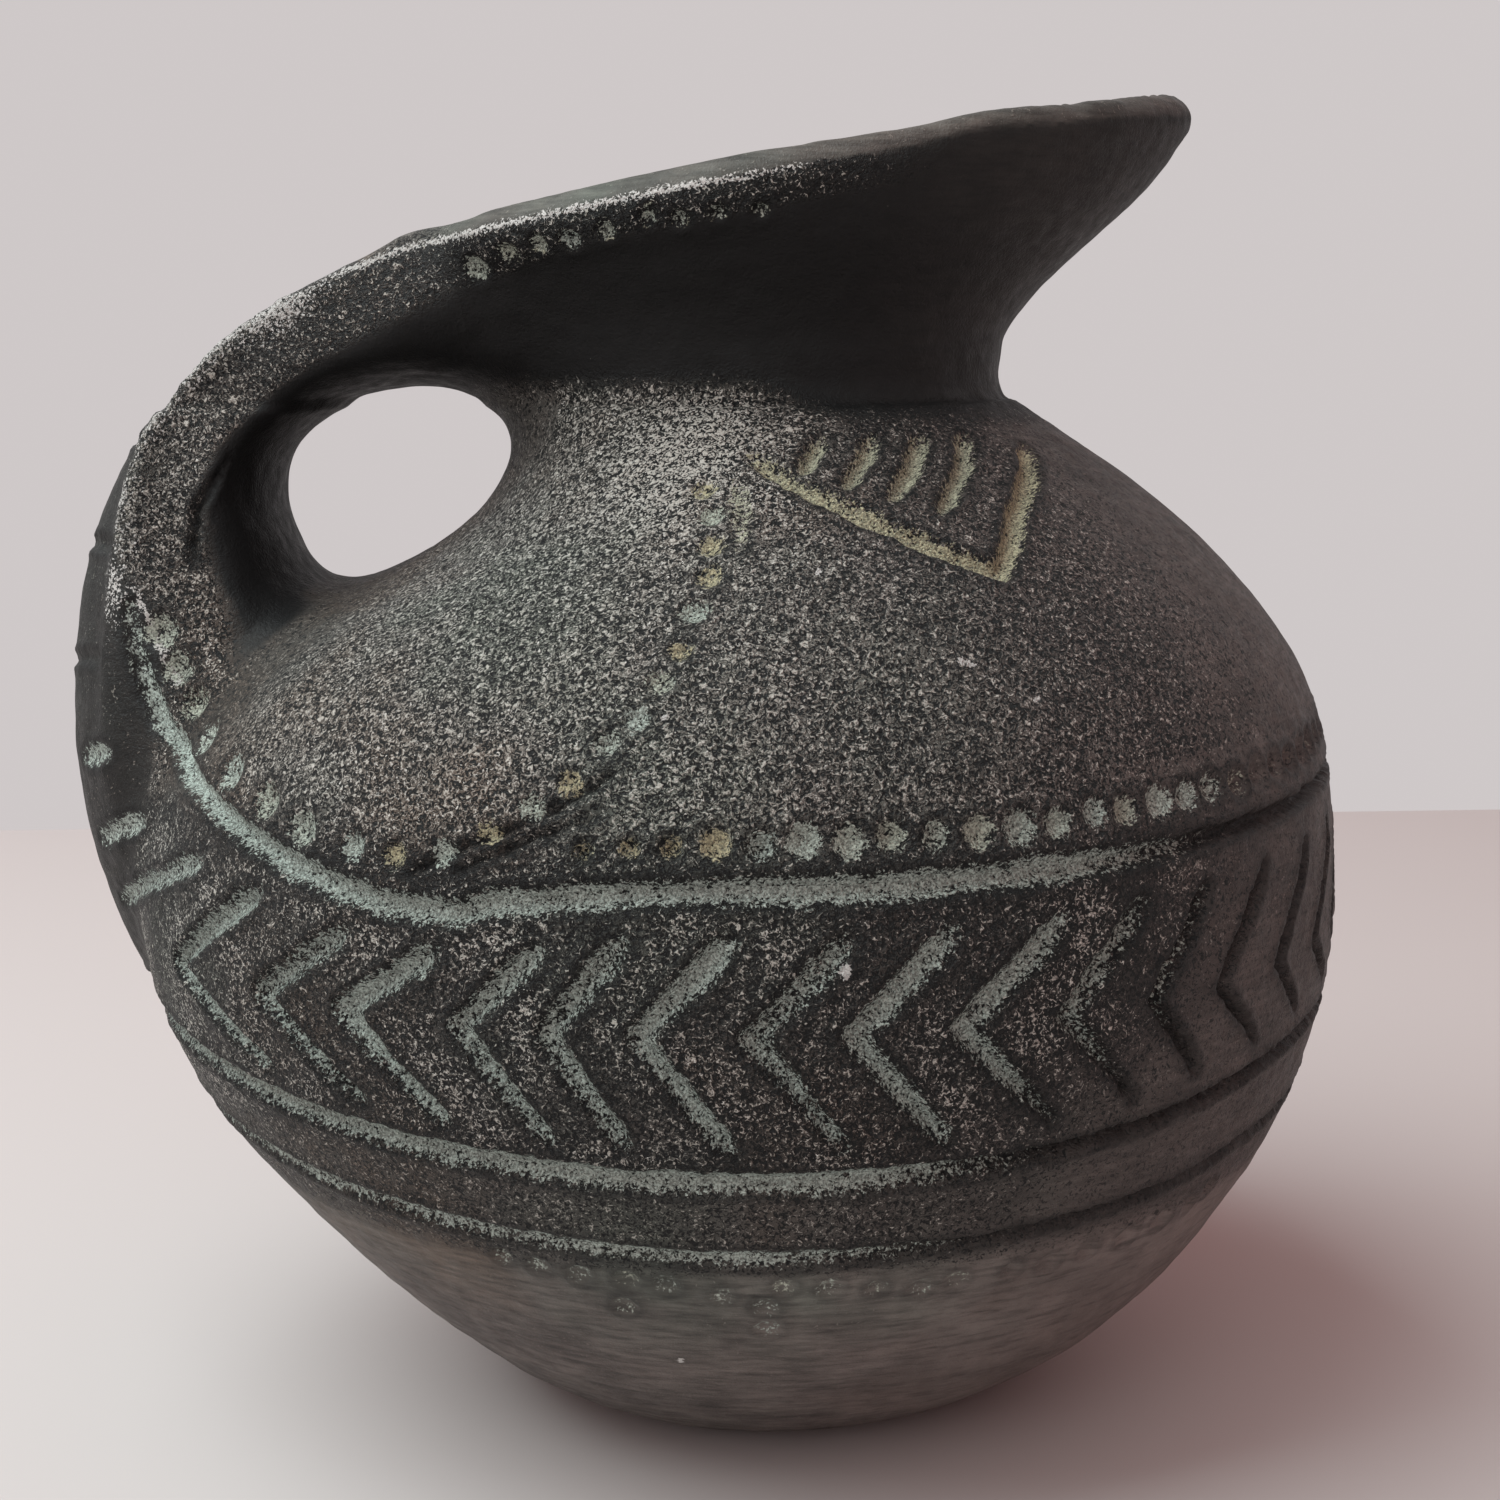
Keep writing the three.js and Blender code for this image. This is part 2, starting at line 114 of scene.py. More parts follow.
def mesh_from(bm, name):
    mesh = bpy.data.meshes.new(name)
    bm.to_mesh(mesh)
    bm.free()
    return mesh


bm = bmesh.new()
bmesh.ops.create_grid(bm, x_segments=1, y_segments=1, size=floor_reach)
bmesh.ops.translate(bm, verts=bm.verts, vec=(0, floor_back - floor_reach, 0))
floor_mesh = mesh_from(bm, "floor")
floor = in_scene(floor_mesh)

floor_paint = bpy.data.materials.new("pale board")
floor_paint.use_nodes = True
floor_shader = floor_paint.node_tree.nodes["Principled BSDF"]
floor_shader.inputs["Base Color"].default_value = (0.58, 0.56, 0.55, 1)
floor_shader.inputs["Roughness"].default_value = 0.6
floor_mesh.materials.append(floor_paint)
print("floor ends", floor_back, "behind the jug")

# %% Helpers for nodes


def node(tree, kind, links=None, **values):
    made_node = tree.nodes.new(kind)
    for name, value in values.items():
        setattr(made_node, name, value)
    for socket, source in (links or {}).items():
        if isinstance(source, bpy.types.NodeSocket):
            tree.links.new(source, made_node.inputs[socket])
        else:
            made_node.inputs[socket].default_value = source
    return made_node


def tree_of(*sources):
    return next(source.id_data for source in sources if isinstance(source, bpy.types.NodeSocket))


def maths(kind, a, b):
    return node(tree_of(a, b), "ShaderNodeMath", {0: a, 1: b}, operation=kind).outputs[0]


def plus(total, *others):
    for other in others:
        total = maths("ADD", total, other)
    return total


def times(a, b):
    return maths("MULTIPLY", a, b)


print("node helpers ready")

# %% World and lamps
world = bpy.data.worlds.new("pale room")
world.use_nodes = True
bpy.context.scene.world = world
air = world.node_tree
air.nodes.clear()
seen = node(air, "ShaderNodeBackground", {"Color": (0.62, 0.58, 0.58, 1), "Strength": 1}).outputs[0]
lit = node(air, "ShaderNodeBackground", {"Color": (1, 0.53, 0.51, 1), "Strength": 0.42}).outputs[0]
rays = node(air, "ShaderNodeLightPath").outputs
seen_rays = plus(rays["Is Camera Ray"], rays["Is Glossy Ray"], rays["Is Transmission Ray"])
choose = node(air, "ShaderNodeMixShader", {0: seen_rays, 1: lit, 2: seen})
node(air, "ShaderNodeOutputWorld", {"Surface": choose.outputs[0]})


def soft_lamp(name, place, size, power):
    data = bpy.data.lights.new(name, "AREA")
    data.shape = "SQUARE"
    data.size = size
    data.energy = power
    data.color = (0.88, 1, 1)
    lamp = in_scene(data)
    aim = Vector((0, 0, 70 * mm)) - Vector(place)
    lamp.matrix_world = Matrix.Translation(place) @ aim.to_track_quat("-Z", "Y").to_matrix().to_4x4()
    return lamp


overhead = soft_lamp("overhead lamp", (-0.42, -0.1, 0.8), 0.78, 9.5)
fill = soft_lamp("fill lamp", (-0.3, -0.8, 0.6), 0.8, 2.6)
print("lamps:", overhead.name, fill.name)

# %% [markdown]
# ## The jug's own measures
# The potter's shape is round in front and drawn out behind, where the handle lands. Two curves
# describe it: a front radius and a rear radius at each height. The mouth leaves the neck as a
# long oval that climbs towards its beak. The solid pieces have the same measures, so the skin
# made here lies on them, apart from small changes that the photograph asks for: the hollow
# behind the neck is up to 3 mm shallower, and the handle's back and rims move by about 1 mm.

# %% Measures
foot_top = 6 * mm
bowl_top = 31 * mm
band_top = 84 * mm
foot_radius = 24 * mm
belly_radius = 67.4 * mm
belly_height = 62 * mm
neck_radius = 27.8 * mm
neck_rear = 3.2 * mm
neck_rear_depth = 5.7 * mm
neck_foot = 120.5 * mm
neck_height = 5.5 * mm
mouth_foot = neck_foot + neck_height
rear_swell = 9.5 * mm
rear_hollow = 13.4 * mm
rear_hollow_share = 0.735
rear_hollow_spread = 11.2 * mm
wall = 6 * mm
most_slanted_wall = 12 * mm
spout_reach = 50.4 * mm
rear_reach = 44 * mm
mouth_half_width = 35 * mm
rim_above_neck = 16.5 * mm
rim_rise = 15.5 * mm
lip_inset = 3.4 * mm
lip_rise = 3.4 * mm
shoulder_span = neck_foot - belly_height


def smooth(value, low, high):
    share = np.clip((value - low) / (high - low), 0, 1)
    return share * share * (3 - 2 * share)


def blend(a, b, share):
    return a + (b - a) * share


def hump(value, centre, width):
    return np.exp(-(((value - centre) / width) ** 2))


def rim_level(x):
    return mouth_foot + rim_above_neck + rim_rise * x / (spout_reach + rear_reach)


def front_radius(z):
    below = 1 - np.clip(z, 0, belly_height) / belly_height
    low = foot_radius + (belly_radius - foot_radius) * (1 - below**2) ** 0.72
    above = np.clip((z - belly_height) / shoulder_span, 0, 1)
    high = neck_radius + (belly_radius - neck_radius) * (1 - above**2.8) ** 1.15
    return np.where(z <= belly_height, low, high)


def rear_radius(z):
    span = np.where(z < belly_height, belly_height, shoulder_span)
    away = np.minimum(np.abs(z - belly_height) / span, 1)
    swell = rear_swell * np.cos(away * math.pi / 2) ** 2
    hollow_height = blend(belly_height, neck_foot, rear_hollow_share)
    hollow = rear_hollow * hump(z, hollow_height, rear_hollow_spread)
    hollow *= smooth(mouth_foot - z, 0, neck_height + mm)
    neck = neck_rear * smooth(z, neck_foot - neck_rear_depth, neck_foot)
    return front_radius(z) + swell - hollow + neck


print("belly", front_radius(np.array([belly_height])), "to", rear_radius(np.array([belly_height])))

# %% Points of the wall and of the mouth


def drawn_in(radius, z, depth):
    step = 0.5 * mm
    slope = (radius(z + step) - radius(z - step)) / (2 * step)
    slant = np.minimum(np.sqrt(1 + slope**2), most_slanted_wall / wall)
    return radius(z) - depth * slant


def body_point(angle, z, depth):
    cosine = np.cos(angle)
    along = np.where(cosine > 0, drawn_in(front_radius, z, depth), drawn_in(rear_radius, z, depth))
    across = drawn_in(front_radius, z, depth)
    return np.stack([along * cosine, across * np.sin(angle), z], axis=-1)


def flare_at(share):
    return 0.4 * share + 0.6 * smooth(share, 0, 1)


def mouth_outer(angle, share):
    cosine = np.cos(angle)
    sine = np.sin(angle)
    rim_x = np.where(cosine > 0, spout_reach, rear_reach) * cosine
    pinch = np.where(cosine > 0, 1.45, 1)
    rim_y = mouth_half_width * np.sign(sine) * np.abs(sine) ** pinch
    flare = flare_at(share)
    foot_x = np.where(cosine > 0, neck_radius, neck_radius + neck_rear) * cosine
    return np.stack([
        blend(foot_x, rim_x, flare),
        blend(neck_radius * sine, rim_y, flare),
        blend(mouth_foot, rim_level(rim_x), share),
    ], axis=-1)


def mouth_point(angle, share, through):
    point = mouth_outer(angle, share)
    reach = np.hypot(point[:, 0], point[:, 1])
    behind = 1 - smooth(point[:, 0], -8 * mm, 10 * mm)
    rim_band = 0.9 * mm * smooth(share, 0.66, 0.76) * behind * (1 - np.minimum(through, 1))
    inset = blend(wall, lip_inset, share) * through - rim_band
    scale = (reach - inset) / reach
    crest = 1.1 * mm * np.sin(np.clip(through, 0, 1) * math.pi) ** 0.8 * (share > 0.99)
    rise = (lip_rise - 0.5 * mm) * share * through + crest
    return np.stack([point[:, 0] * scale, point[:, 1] * scale, point[:, 2] + rise], axis=-1)


print("beak at", mouth_outer(np.array([0.0]), np.array([1.0]))[0].round(4))

# %% [markdown]
# ## The pot's wall
# One profile goes up the outside, over the lip and down the inside to the floor. Spinning it
# once round the axis gives a straight pot, whose points are then moved to their real places,
# as a potter throws a cylinder first and shapes it afterwards.

# %% Spin a plain pot and shape it
outside = 2.0
inside = 1.0
spin_steps = 144


def pot_profile():
    profile = [(0, 0)]
    profile += [(outside, i / 60) for i in range(61)]
    profile += [(outside, 1 + i / 16) for i in range(1, 17)]
    profile += [(outside - i / 6, 2) for i in range(1, 6)]
    profile += [(inside, 2 - i / 16) for i in range(17)]
    floor_level = wall / mouth_foot
    profile += [(inside, blend(1, floor_level, i / 44)) for i in range(1, 45)]
    profile += [(0, floor_level)]
    return profile


def shape_pot(points):
    angle = np.arctan2(points[:, 1], points[:, 0])
    code = np.hypot(points[:, 0], points[:, 1])
    level = points[:, 2]
    through = outside - np.maximum(code, inside)
    low = body_point(angle, np.clip(level, 0, 1) * mouth_foot, through * wall)
    high = mouth_point(angle, np.clip(level - 1, 0, 1), through)
    placed = np.where((level <= 1)[:, None], low, high)
    placed[:, :2] *= np.minimum(code / inside, 1)[:, None]
    return placed


def move_points(bm, place):
    points = np.array([vert.co for vert in bm.verts])
    for vert, spot in zip(bm.verts, place(points)):
        vert.co = spot


bm = bmesh.new()
corners = [bm.verts.new((code, 0, level)) for code, level in pot_profile()]
edges = [bm.edges.new(pair) for pair in zip(corners[:-1], corners[1:])]
bmesh.ops.spin(
    bm, geom=corners + edges, cent=(0, 0, 0), axis=(0, 0, 1), angle=2 * math.pi,
    steps=spin_steps, use_merge=True,
)
bmesh.ops.remove_doubles(bm, verts=bm.verts, dist=1e-5)
move_points(bm, shape_pot)
bmesh.ops.recalc_face_normals(bm, faces=bm.faces)
pot_tree = BVHTree.FromBMesh(bm)
pot_mesh = mesh_from(bm, "plain pot")
print("plain pot:", len(pot_mesh.polygons), "faces")

# %% [markdown]
# ## The handle
# The handle is a thick strap, pulled and pressed on. Its back is a smooth crown that ends at a
# sharp ridge on each side. From the ridge a broad flat face runs to a second crease, and from
# there the inner face rounds over to the finger hole. It starts as a circle that is extruded
# ring by ring along a curve. Each ring takes its own sizes from stations, which give a share of
# the way along the strap and a size in millimetres. Where a ring would reach into the pot it
# stops inside the wall. The first rings lie there as a whole, so that no cut end shows.

# %% The handle's curve and sections
rim_rear = np.array([-rear_reach, rim_level(-rear_reach)])
belly_rear = np.array([-(belly_radius + rear_swell), belly_height])
crown_shares = np.array([
    [-0.365, -0.064], [-0.015, -0.029], [0.289, 0.031], [0.605, 0.116], [0.884, 0.222], [1.085, 0.37],
    [1.182, 0.509], [1.222, 0.659], [1.219, 0.809], [1.146, 0.986], [1.04, 1.123], [0.942, 1.218],
])
crown_stations = rim_rear + crown_shares * (belly_rear - rim_rear)
thickness_stations = [
    (0, 20), (0.1, 16.4), (0.16, 14.6), (0.21, 13.3), (0.29, 13.3), (0.53, 34), (0.8, 34), (1, 14),
]
half_width_stations = [(0, 21), (0.1, 20.5), (0.25, 16.5), (0.38, 16), (0.75, 22), (1, 12)]
bulge_stations = [(0, 0.6), (0.18, 0.9), (0.27, 1.9), (0.36, 3.6), (0.5, 8), (0.6, 9), (1, 4)]
side_stations = [(0, 5), (0.1, 7.6), (0.25, 7.2), (0.36, 7.4), (0.5, 12), (0.7, 12), (1, 4)]
ridge_stations = [(0, 0.2), (0.12, 1.1), (0.6, 1.4), (0.75, 0.3), (1, 0)]
ridge_width = 0.12
ridge_turn = 0.95
crease_turn = 1.75
ridge_share = 0.86
start_heading = np.array([-11.5 * mm, 4.5 * mm])


def between(stations, share):
    places, values = np.array(stations).T * [[1], [mm]]
    slopes = np.gradient(values, places)
    i = np.clip(np.searchsorted(places, share, side="right") - 1, 0, len(places) - 2)
    span = places[i + 1] - places[i]
    t = np.clip((share - places[i]) / span, 0, 1)
    bend = slopes[i] * span * t * (1 - t) ** 2 - slopes[i + 1] * span * t**2 * (1 - t)
    return blend(values[i], values[i + 1], smooth(t, 0, 1)) + bend


def crown_point(share):
    spans = len(crown_stations) - 1
    place = np.clip(share, 0, 1) * spans
    i = np.minimum(place.astype(int), spans - 1)
    t = (place - i)[:, None]
    padded = np.vstack([2 * crown_stations[0] - crown_stations[1], crown_stations,
                        2 * crown_stations[-1] - crown_stations[-2]])
    a, b, c, d = (padded[i + k] for k in range(4))
    curve = 2 * b + (c - a) * t + (2 * a - 5 * b + 4 * c - d) * t**2 + (3 * b - a - 3 * c + d) * t**3
    return 0.5 * curve + np.minimum(share, 0)[:, None] * spans * start_heading


def crown_inward(share):
    heading = crown_point(share + 0.002) - crown_point(share - 0.002)
    heading /= np.linalg.norm(heading, axis=1)[:, None]
    return np.stack([-heading[:, 1], heading[:, 0]], axis=1)


print("handle's lowest point", crown_stations[-1].round(4))

# %% Place a ring of the handle, and keep it out of the pot's inside


def strap_point(share, angle):
    crown = crown_point(share)
    inward = crown_inward(share)
    turned = np.abs(np.arctan2(np.sin(angle), np.cos(angle)))
    bulge = between(bulge_stations, share)
    side_depth = between(side_stations, share)
    inner_depth = between(thickness_stations, share) - bulge - side_depth
    over = np.clip(turned / ridge_turn, 0, 1)
    down = np.clip((turned - ridge_turn) / (crease_turn - ridge_turn), 0, 1)
    under = np.clip((turned - crease_turn) / (math.pi - crease_turn), 0, 1) * math.pi / 2
    ridge = between(ridge_stations, share) * hump(turned, ridge_turn, ridge_width)
    half = between(half_width_stations, share) * blend(ridge_share * over, 1, down) * np.cos(under)
    into = bulge * over**2.2 + side_depth * down + inner_depth * np.sin(under) - ridge
    x = crown[:, 0] + inward[:, 0] * into
    z = crown[:, 1] + inward[:, 1] * into
    return np.stack([x, np.sign(np.sin(angle)) * (half + ridge * 0.4), z], axis=1)


def out_of_pot(points):
    buried = 3 * mm
    x, y, z = points.T
    share = np.clip((z - mouth_foot) / (rim_above_neck - rim_rise / 2), 0, 1)
    flare = flare_at(share)
    mouth_along = blend(neck_radius + neck_rear, rear_reach, flare) - buried
    mouth_across = blend(neck_radius, mouth_half_width, flare) - buried
    high = z > mouth_foot
    along = np.where(high, mouth_along, drawn_in(rear_radius, z, buried))
    across = np.where(high, mouth_across, drawn_in(front_radius, z, buried))
    reach = np.hypot(x / along, y / across)
    scale = np.where((reach < 1) & (x < 0), 1 / np.maximum(reach, 0.05), 1)
    low_z = np.where((reach < 1) & high, np.minimum(z, rim_level(x) + lip_rise * 0.7), z)
    return np.stack([x * scale, y * scale, low_z], axis=1)


strap_rings = 80
strap_start = -0.16
strap_sides = 56
bm = bmesh.new()
bmesh.ops.create_circle(bm, segments=strap_sides, radius=1)
rim_edges = list(bm.edges)
for ring in range(strap_rings):
    grown = bmesh.ops.extrude_edge_only(bm, edges=rim_edges)["geom"]
    new_verts = [part for part in grown if isinstance(part, bmesh.types.BMVert)]
    rim_edges = [
        part for part in grown
        if isinstance(part, bmesh.types.BMEdge) and all(vert in new_verts for vert in part.verts)
    ]
    bmesh.ops.translate(bm, verts=new_verts, vec=(0, 0, (1 - strap_start) / strap_rings))
bmesh.ops.holes_fill(bm, edges=bm.edges, sides=0)
move_points(bm, lambda p: out_of_pot(strap_point(p[:, 2] + strap_start, np.arctan2(p[:, 1], p[:, 0]))))
bmesh.ops.recalc_face_normals(bm, faces=bm.faces)
strap_tree = BVHTree.FromBMesh(bm)
strap_mesh = mesh_from(bm, "plain strap")
print("plain strap:", len(strap_mesh.polygons), "faces")

# %% [markdown]
# ## Joining the clay
# The potter wipes the joints until pot and handle are one. A voxel remesh does the same: it
# gives one even skin over both shapes. The clay is turned level with the rim for it, so that
# the voxels lie along the lip and leave no steps there. Away from the joint the points are laid
# back on the true shapes, and the lip is wiped and evened to one height. Then the joint is
# smoothed over and over, but a point moves only where that adds clay. So the handle grows out of
# the belly and the rim with a soft fillet, and keeps its own form.

# %% One skin of clay
voxel = 1.2 * mm


def made(obj):
    bpy.context.view_layer.update()
    done = obj.evaluated_get(bpy.context.evaluated_depsgraph_get())
    mesh = bpy.data.meshes.new_from_object(done)
    source = obj.data
    bpy.data.objects.remove(obj)
    bpy.data.meshes.remove(source)
    return mesh


def vectors_of(items, name):
    flat = np.empty(len(items) * 3, dtype=np.float32)
    items.foreach_get(name, flat)
    return flat.reshape(-1, 3).astype(float)


def points_of(mesh):
    return vectors_of(mesh.vertices, "co")


def normals_of(mesh):
    return vectors_of(mesh.vertex_normals, "vector")


def set_points(mesh, points):
    mesh.vertices.foreach_set("co", points.ravel())
    mesh.update()


bm = bmesh.new()
bm.from_mesh(pot_mesh)
bm.from_mesh(strap_mesh)
both = mesh_from(bm, "joined clay")
rim_slope = math.atan2(rim_rise, spout_reach + rear_reach)
both.transform(Matrix.Rotation(rim_slope, 4, "Y"))
joined = in_scene(both)
remesh = joined.modifiers.new("even skin", "REMESH")
remesh.mode = "VOXEL"
remesh.voxel_size = voxel
skin = made(joined)
skin.transform(Matrix.Rotation(-rim_slope, 4, "Y"))
print("even skin:", len(skin.polygons), "faces")

# %% Smooth the skin, most at the joints and on the lip


def nearest_on(tree, points):
    found = [tree.find_nearest(Vector(p)) for p in points]
    return np.array([hit[0] for hit in found]), np.array([hit[3] for hit in found])


def smoothed(mesh, *groups):
    obj = in_scene(mesh)
    for name, weights, factor, rounds in groups:
        group = obj.vertex_groups.new(name=name)
        for i in np.flatnonzero(weights > 0):
            group.add([int(i)], float(weights[i]), "REPLACE")
        relax = obj.modifiers.new(name, "SMOOTH")
        relax.factor = factor
        relax.iterations = rounds
        relax.vertex_group = name
    return made(obj)


def lip_shift(points):
    above = points[:, 2] - rim_level(points[:, 0])
    turn_at = np.degrees(np.arctan2(points[:, 1], points[:, 0]))
    front = (above > 0) & (np.abs(turn_at) < 90)
    tops = np.zeros(90)
    np.maximum.at(tops, ((turn_at[front] + 90) // 2).astype(int), above[front])
    window = np.hanning(17)[1:-1]
    even_tops = np.convolve(np.pad(tops, 7, mode="edge"), window / window.sum(), "valid")
    shift = np.interp(turn_at, np.arange(90) * 2 - 89, even_tops - tops)
    return shift * smooth(above, 0, 1.5 * mm) * smooth(points[:, 0], 2 * mm, 12 * mm)


clear_of_joint = 2.2 * mm
fillet_full = 3 * mm
fillet_end = 11 * mm
hole_x = -45 * mm
hole_z = 110 * mm
hole_reach = 16 * mm
lip_depth = 1.5 * mm
points = points_of(skin)
on_pot, from_pot = nearest_on(pot_tree, points)
on_strap, from_strap = nearest_on(strap_tree, points)
points = np.where((from_strap > clear_of_joint)[:, None], on_pot, points)
points = np.where((from_pot > clear_of_joint)[:, None], on_strap, points)
set_points(skin, points)
above_rim = points[:, 2] - rim_level(points[:, 0])
joint = 1 - smooth(np.maximum(from_pot, from_strap), fillet_full, fillet_end)
from_hole = np.hypot(points[:, 0] - hole_x, points[:, 2] - hole_z)
joint = np.maximum(joint, 1 - smooth(from_hole, hole_reach, hole_reach + 5 * mm))
joint *= 1 - smooth(above_rim, -4 * mm, -1 * mm) * smooth(points[:, 0], -44 * mm, -38 * mm)
lip = smooth(above_rim, -lip_depth, 0)
skin = smoothed(skin, ("even out", np.ones(len(points)), 0.5, 2), ("lip", lip, 0.5, 16))
sharp = points_of(skin)
free_lip = np.flatnonzero((lip > 0.3) & (from_strap > 3 * mm))
sharp[free_lip] = nearest_on(pot_tree, sharp[free_lip])[0]
sharp[:, 2] += lip_shift(sharp)
set_points(skin, sharp)
skin = smoothed(skin, ("wiped lip", lip, 0.5, 5))
sharp = points_of(skin)
sharp[:, 2] += lip_shift(sharp)
set_points(skin, sharp)
outward = normals_of(skin)
skin = smoothed(skin, ("fillet", joint, 0.7, 140))
added = points_of(skin) - sharp
kept_share = smooth((added * outward).sum(axis=1), -0.02 * mm, 0.1 * mm)
set_points(skin, sharp + added * kept_share[:, None])
skin = smoothed(skin, ("settle", joint, 0.5, 4))
print("joint points:", int((joint > 0).sum()), "lip points:", int((lip > 0).sum()))

# %% [markdown]
# ## Inside and outside
# Nobody looks closely at the inside of the belly, so its wall keeps the coarse mesh, as a liner
# of its own. The outside, the mouth and the way down the neck are subdivided until a tool mark
# can be pressed into them.

# %% Part the liner from the skin
liner_top = 100 * mm


def body_reach(points, depth):
    x, y, z = points.T
    along = np.where(x > 0, drawn_in(front_radius, z, depth), drawn_in(rear_radius, z, depth))
    return np.hypot(x / along, y / drawn_in(front_radius, z, depth))


def keep_faces(mesh, chosen, name):
    bm = bmesh.new()
    bm.from_mesh(mesh)
    bm.faces.ensure_lookup_table()
    unwanted = [bm.faces[i] for i in np.flatnonzero(~chosen)]
    bmesh.ops.delete(bm, geom=unwanted, context="FACES")
    return mesh_from(bm, name)


def centres_of(mesh):
    return vectors_of(mesh.polygons, "center")


centres = centres_of(skin)
lined = (centres[:, 2] < liner_top) & (body_reach(centres, 3 * mm) < 1) & (centres[:, 2] > 3 * mm)
liner_mesh = keep_faces(skin, lined, "inner_wall")
outer_mesh = keep_faces(skin, ~lined, "outer skin")
bpy.data.meshes.remove(skin)
fine = in_scene(outer_mesh)
divide = fine.modifiers.new("fine skin", "SUBSURF")
divide.levels = 1
divide.render_levels = 1
clay = made(fine)
print("liner:", len(liner_mesh.polygons), "faces, fine skin:", len(clay.polygons), "faces")

# %% [markdown]
# ## The uneven hand
# No two spots of a coil-built wall are alike. Slow waves, a few tenths of a millimetre deep,
# and finer pits are pressed into the skin with layered noise. The lip was wiped with a wet
# finger, so it stays smoother than the rest. As the photograph shows, the rim rises a little
# before the beak and behind it, and the bowl is drawn in behind, each by about a millimetre. A
# last fit of a few thousandths sideways, and of the beak's lip downwards, keeps the skin inside
# the box of the solids.

# %% Uneven clay


def layered_noise(points, scale, seed):
    shift = Vector((seed * 3.1, seed * 1.7, seed * 5.3))
    return np.array([noise.noise(Vector(p) * scale + shift) for p in points])


def plateau(value, rise, full, fall, end):
    return smooth(value, rise, full) * (1 - smooth(value, fall, end))


wave_depth = 0.35 * mm
dent_depth = 0.12 * mm
pit_depth = 0.09 * mm
beak_rise = 1.4 * mm
back_rise = 0.95 * mm
bowl_tuck = 1.1 * mm
neck_step_depth = 0.6 * mm
front_fit = 0.998
rear_fit = 0.9998
side_fit = 0.9955
beak_fit = 0.127
beak_foot = 148 * mm
neck_seam = 119.4 * mm
points = points_of(clay)
normals = normals_of(clay)
x, y, z = points.T
above_rim = z - rim_level(x)
wiped = smooth(above_rim, -lip_depth, 0)
waves = layered_noise(points, 45, 1) * wave_depth
dents = layered_noise(points, 160, 2) * dent_depth
pits = layered_noise(points, 420, 3) * pit_depth
beak = plateau(x, 12 * mm, 28 * mm, 46 * mm, 66 * mm)
lift = plateau(x, -47 * mm, -39 * mm, 20 * mm, 32 * mm)
z += (beak_rise * beak + back_rise * lift) * smooth(above_rim, -8 * mm, 0)
x += bowl_tuck * smooth(-x, 15 * mm, 45 * mm) * hump(z, 25 * mm, 12 * mm)
neck_step = plateau(z, neck_seam - 0.3 * mm, neck_seam + 0.5 * mm, neck_seam + mm, mouth_foot)
neck_step *= neck_step_depth * (body_reach(points, wall / 2) > 1)
points += normals * (waves + (dents + pits) * (1 - 0.8 * wiped) - neck_step)[:, None]
x *= np.where(x > 0, front_fit, rear_fit)
y *= side_fit
z -= beak_fit * np.maximum(z - beak_foot, 0)
points[:, 2] = np.maximum(z, 0)
set_points(clay, points)
corner_flat = np.empty(len(clay.loops), dtype=np.int32)
clay.loops.foreach_get("vertex_index", corner_flat)
face_corners = corner_flat.reshape(-1, 4)
print("points on the fine skin:", len(points))

# %% [markdown]
# ## Where each point of the handle lies
# The marks and the tones of the handle follow its own directions: how far along the strap a
# point lies, and whether it is on the crown, the ridge, the flat side or the inner face. Each
# point takes both from the nearest of a fine set of section points.

# %% Handle places


def nearest_of(marks, spots):
    tree = KDTree(len(marks))
    for i, mark in enumerate(marks):
        tree.insert(Vector(mark), i)
    tree.balance()
    found = np.array([tree.find(Vector(spot))[1:] for spot in spots])
    return found[:, 0].astype(int), found[:, 1]


share_grid, turn_grid = np.meshgrid(np.linspace(0, 1, 180), np.linspace(-math.pi, math.pi, 97))
share_list = share_grid.ravel()
turn_list = turn_grid.ravel()
off_wall = (body_reach(points, 0) - 1) * np.hypot(x, y)
behind = (x < -24 * mm) & (off_wall > -2 * mm) & (z > 42 * mm)
section, gap = nearest_of(out_of_pot(strap_point(share_list, turn_list)), points[behind])
handle_share = np.full(len(points), -1.0)
handle_turn = np.zeros(len(points))
handle_gap = np.ones(len(points))
handle_share[behind] = share_list[section]
handle_turn[behind] = np.abs(turn_list[section])
handle_gap[behind] = gap
on_handle = (1 - smooth(handle_gap, 1.2 * mm, 3 * mm)) * smooth(handle_share, 0, 0.06)
print("points on the handle:", int((on_handle > 0.5).sum()))

# %% [markdown]
# ## Incised lines, chevrons and dots
# The marks were cut and pressed into leather-hard clay with a blunt tool, then rubbed with pale
# paste. Most strokes are a path of stations on the pot: an angle from the spout in degrees and
# a height. Where a mark has to land on a spot that the photograph shows, on the handle or under
# the rim, a ray goes from the camera through that pixel. Each path is dropped onto the skin,
# and every point of the skin near it sinks. The widths and depths of marks are in millimetres.

# %% Paths of the strokes
near = -1
far = 1
sides = {"near": near, "far": far}
groove_half = 1.35
groove_depth = 1.2
stroke_step = 0.25 * mm
skin_tree = BVHTree.FromPolygons(points.tolist(), face_corners.tolist())
strokes = []


def wall_path(stations):
    angles = np.radians([angle for angle, height in stations])
    heights = np.array([height for angle, height in stations])
    return body_point(angles, heights, 0)


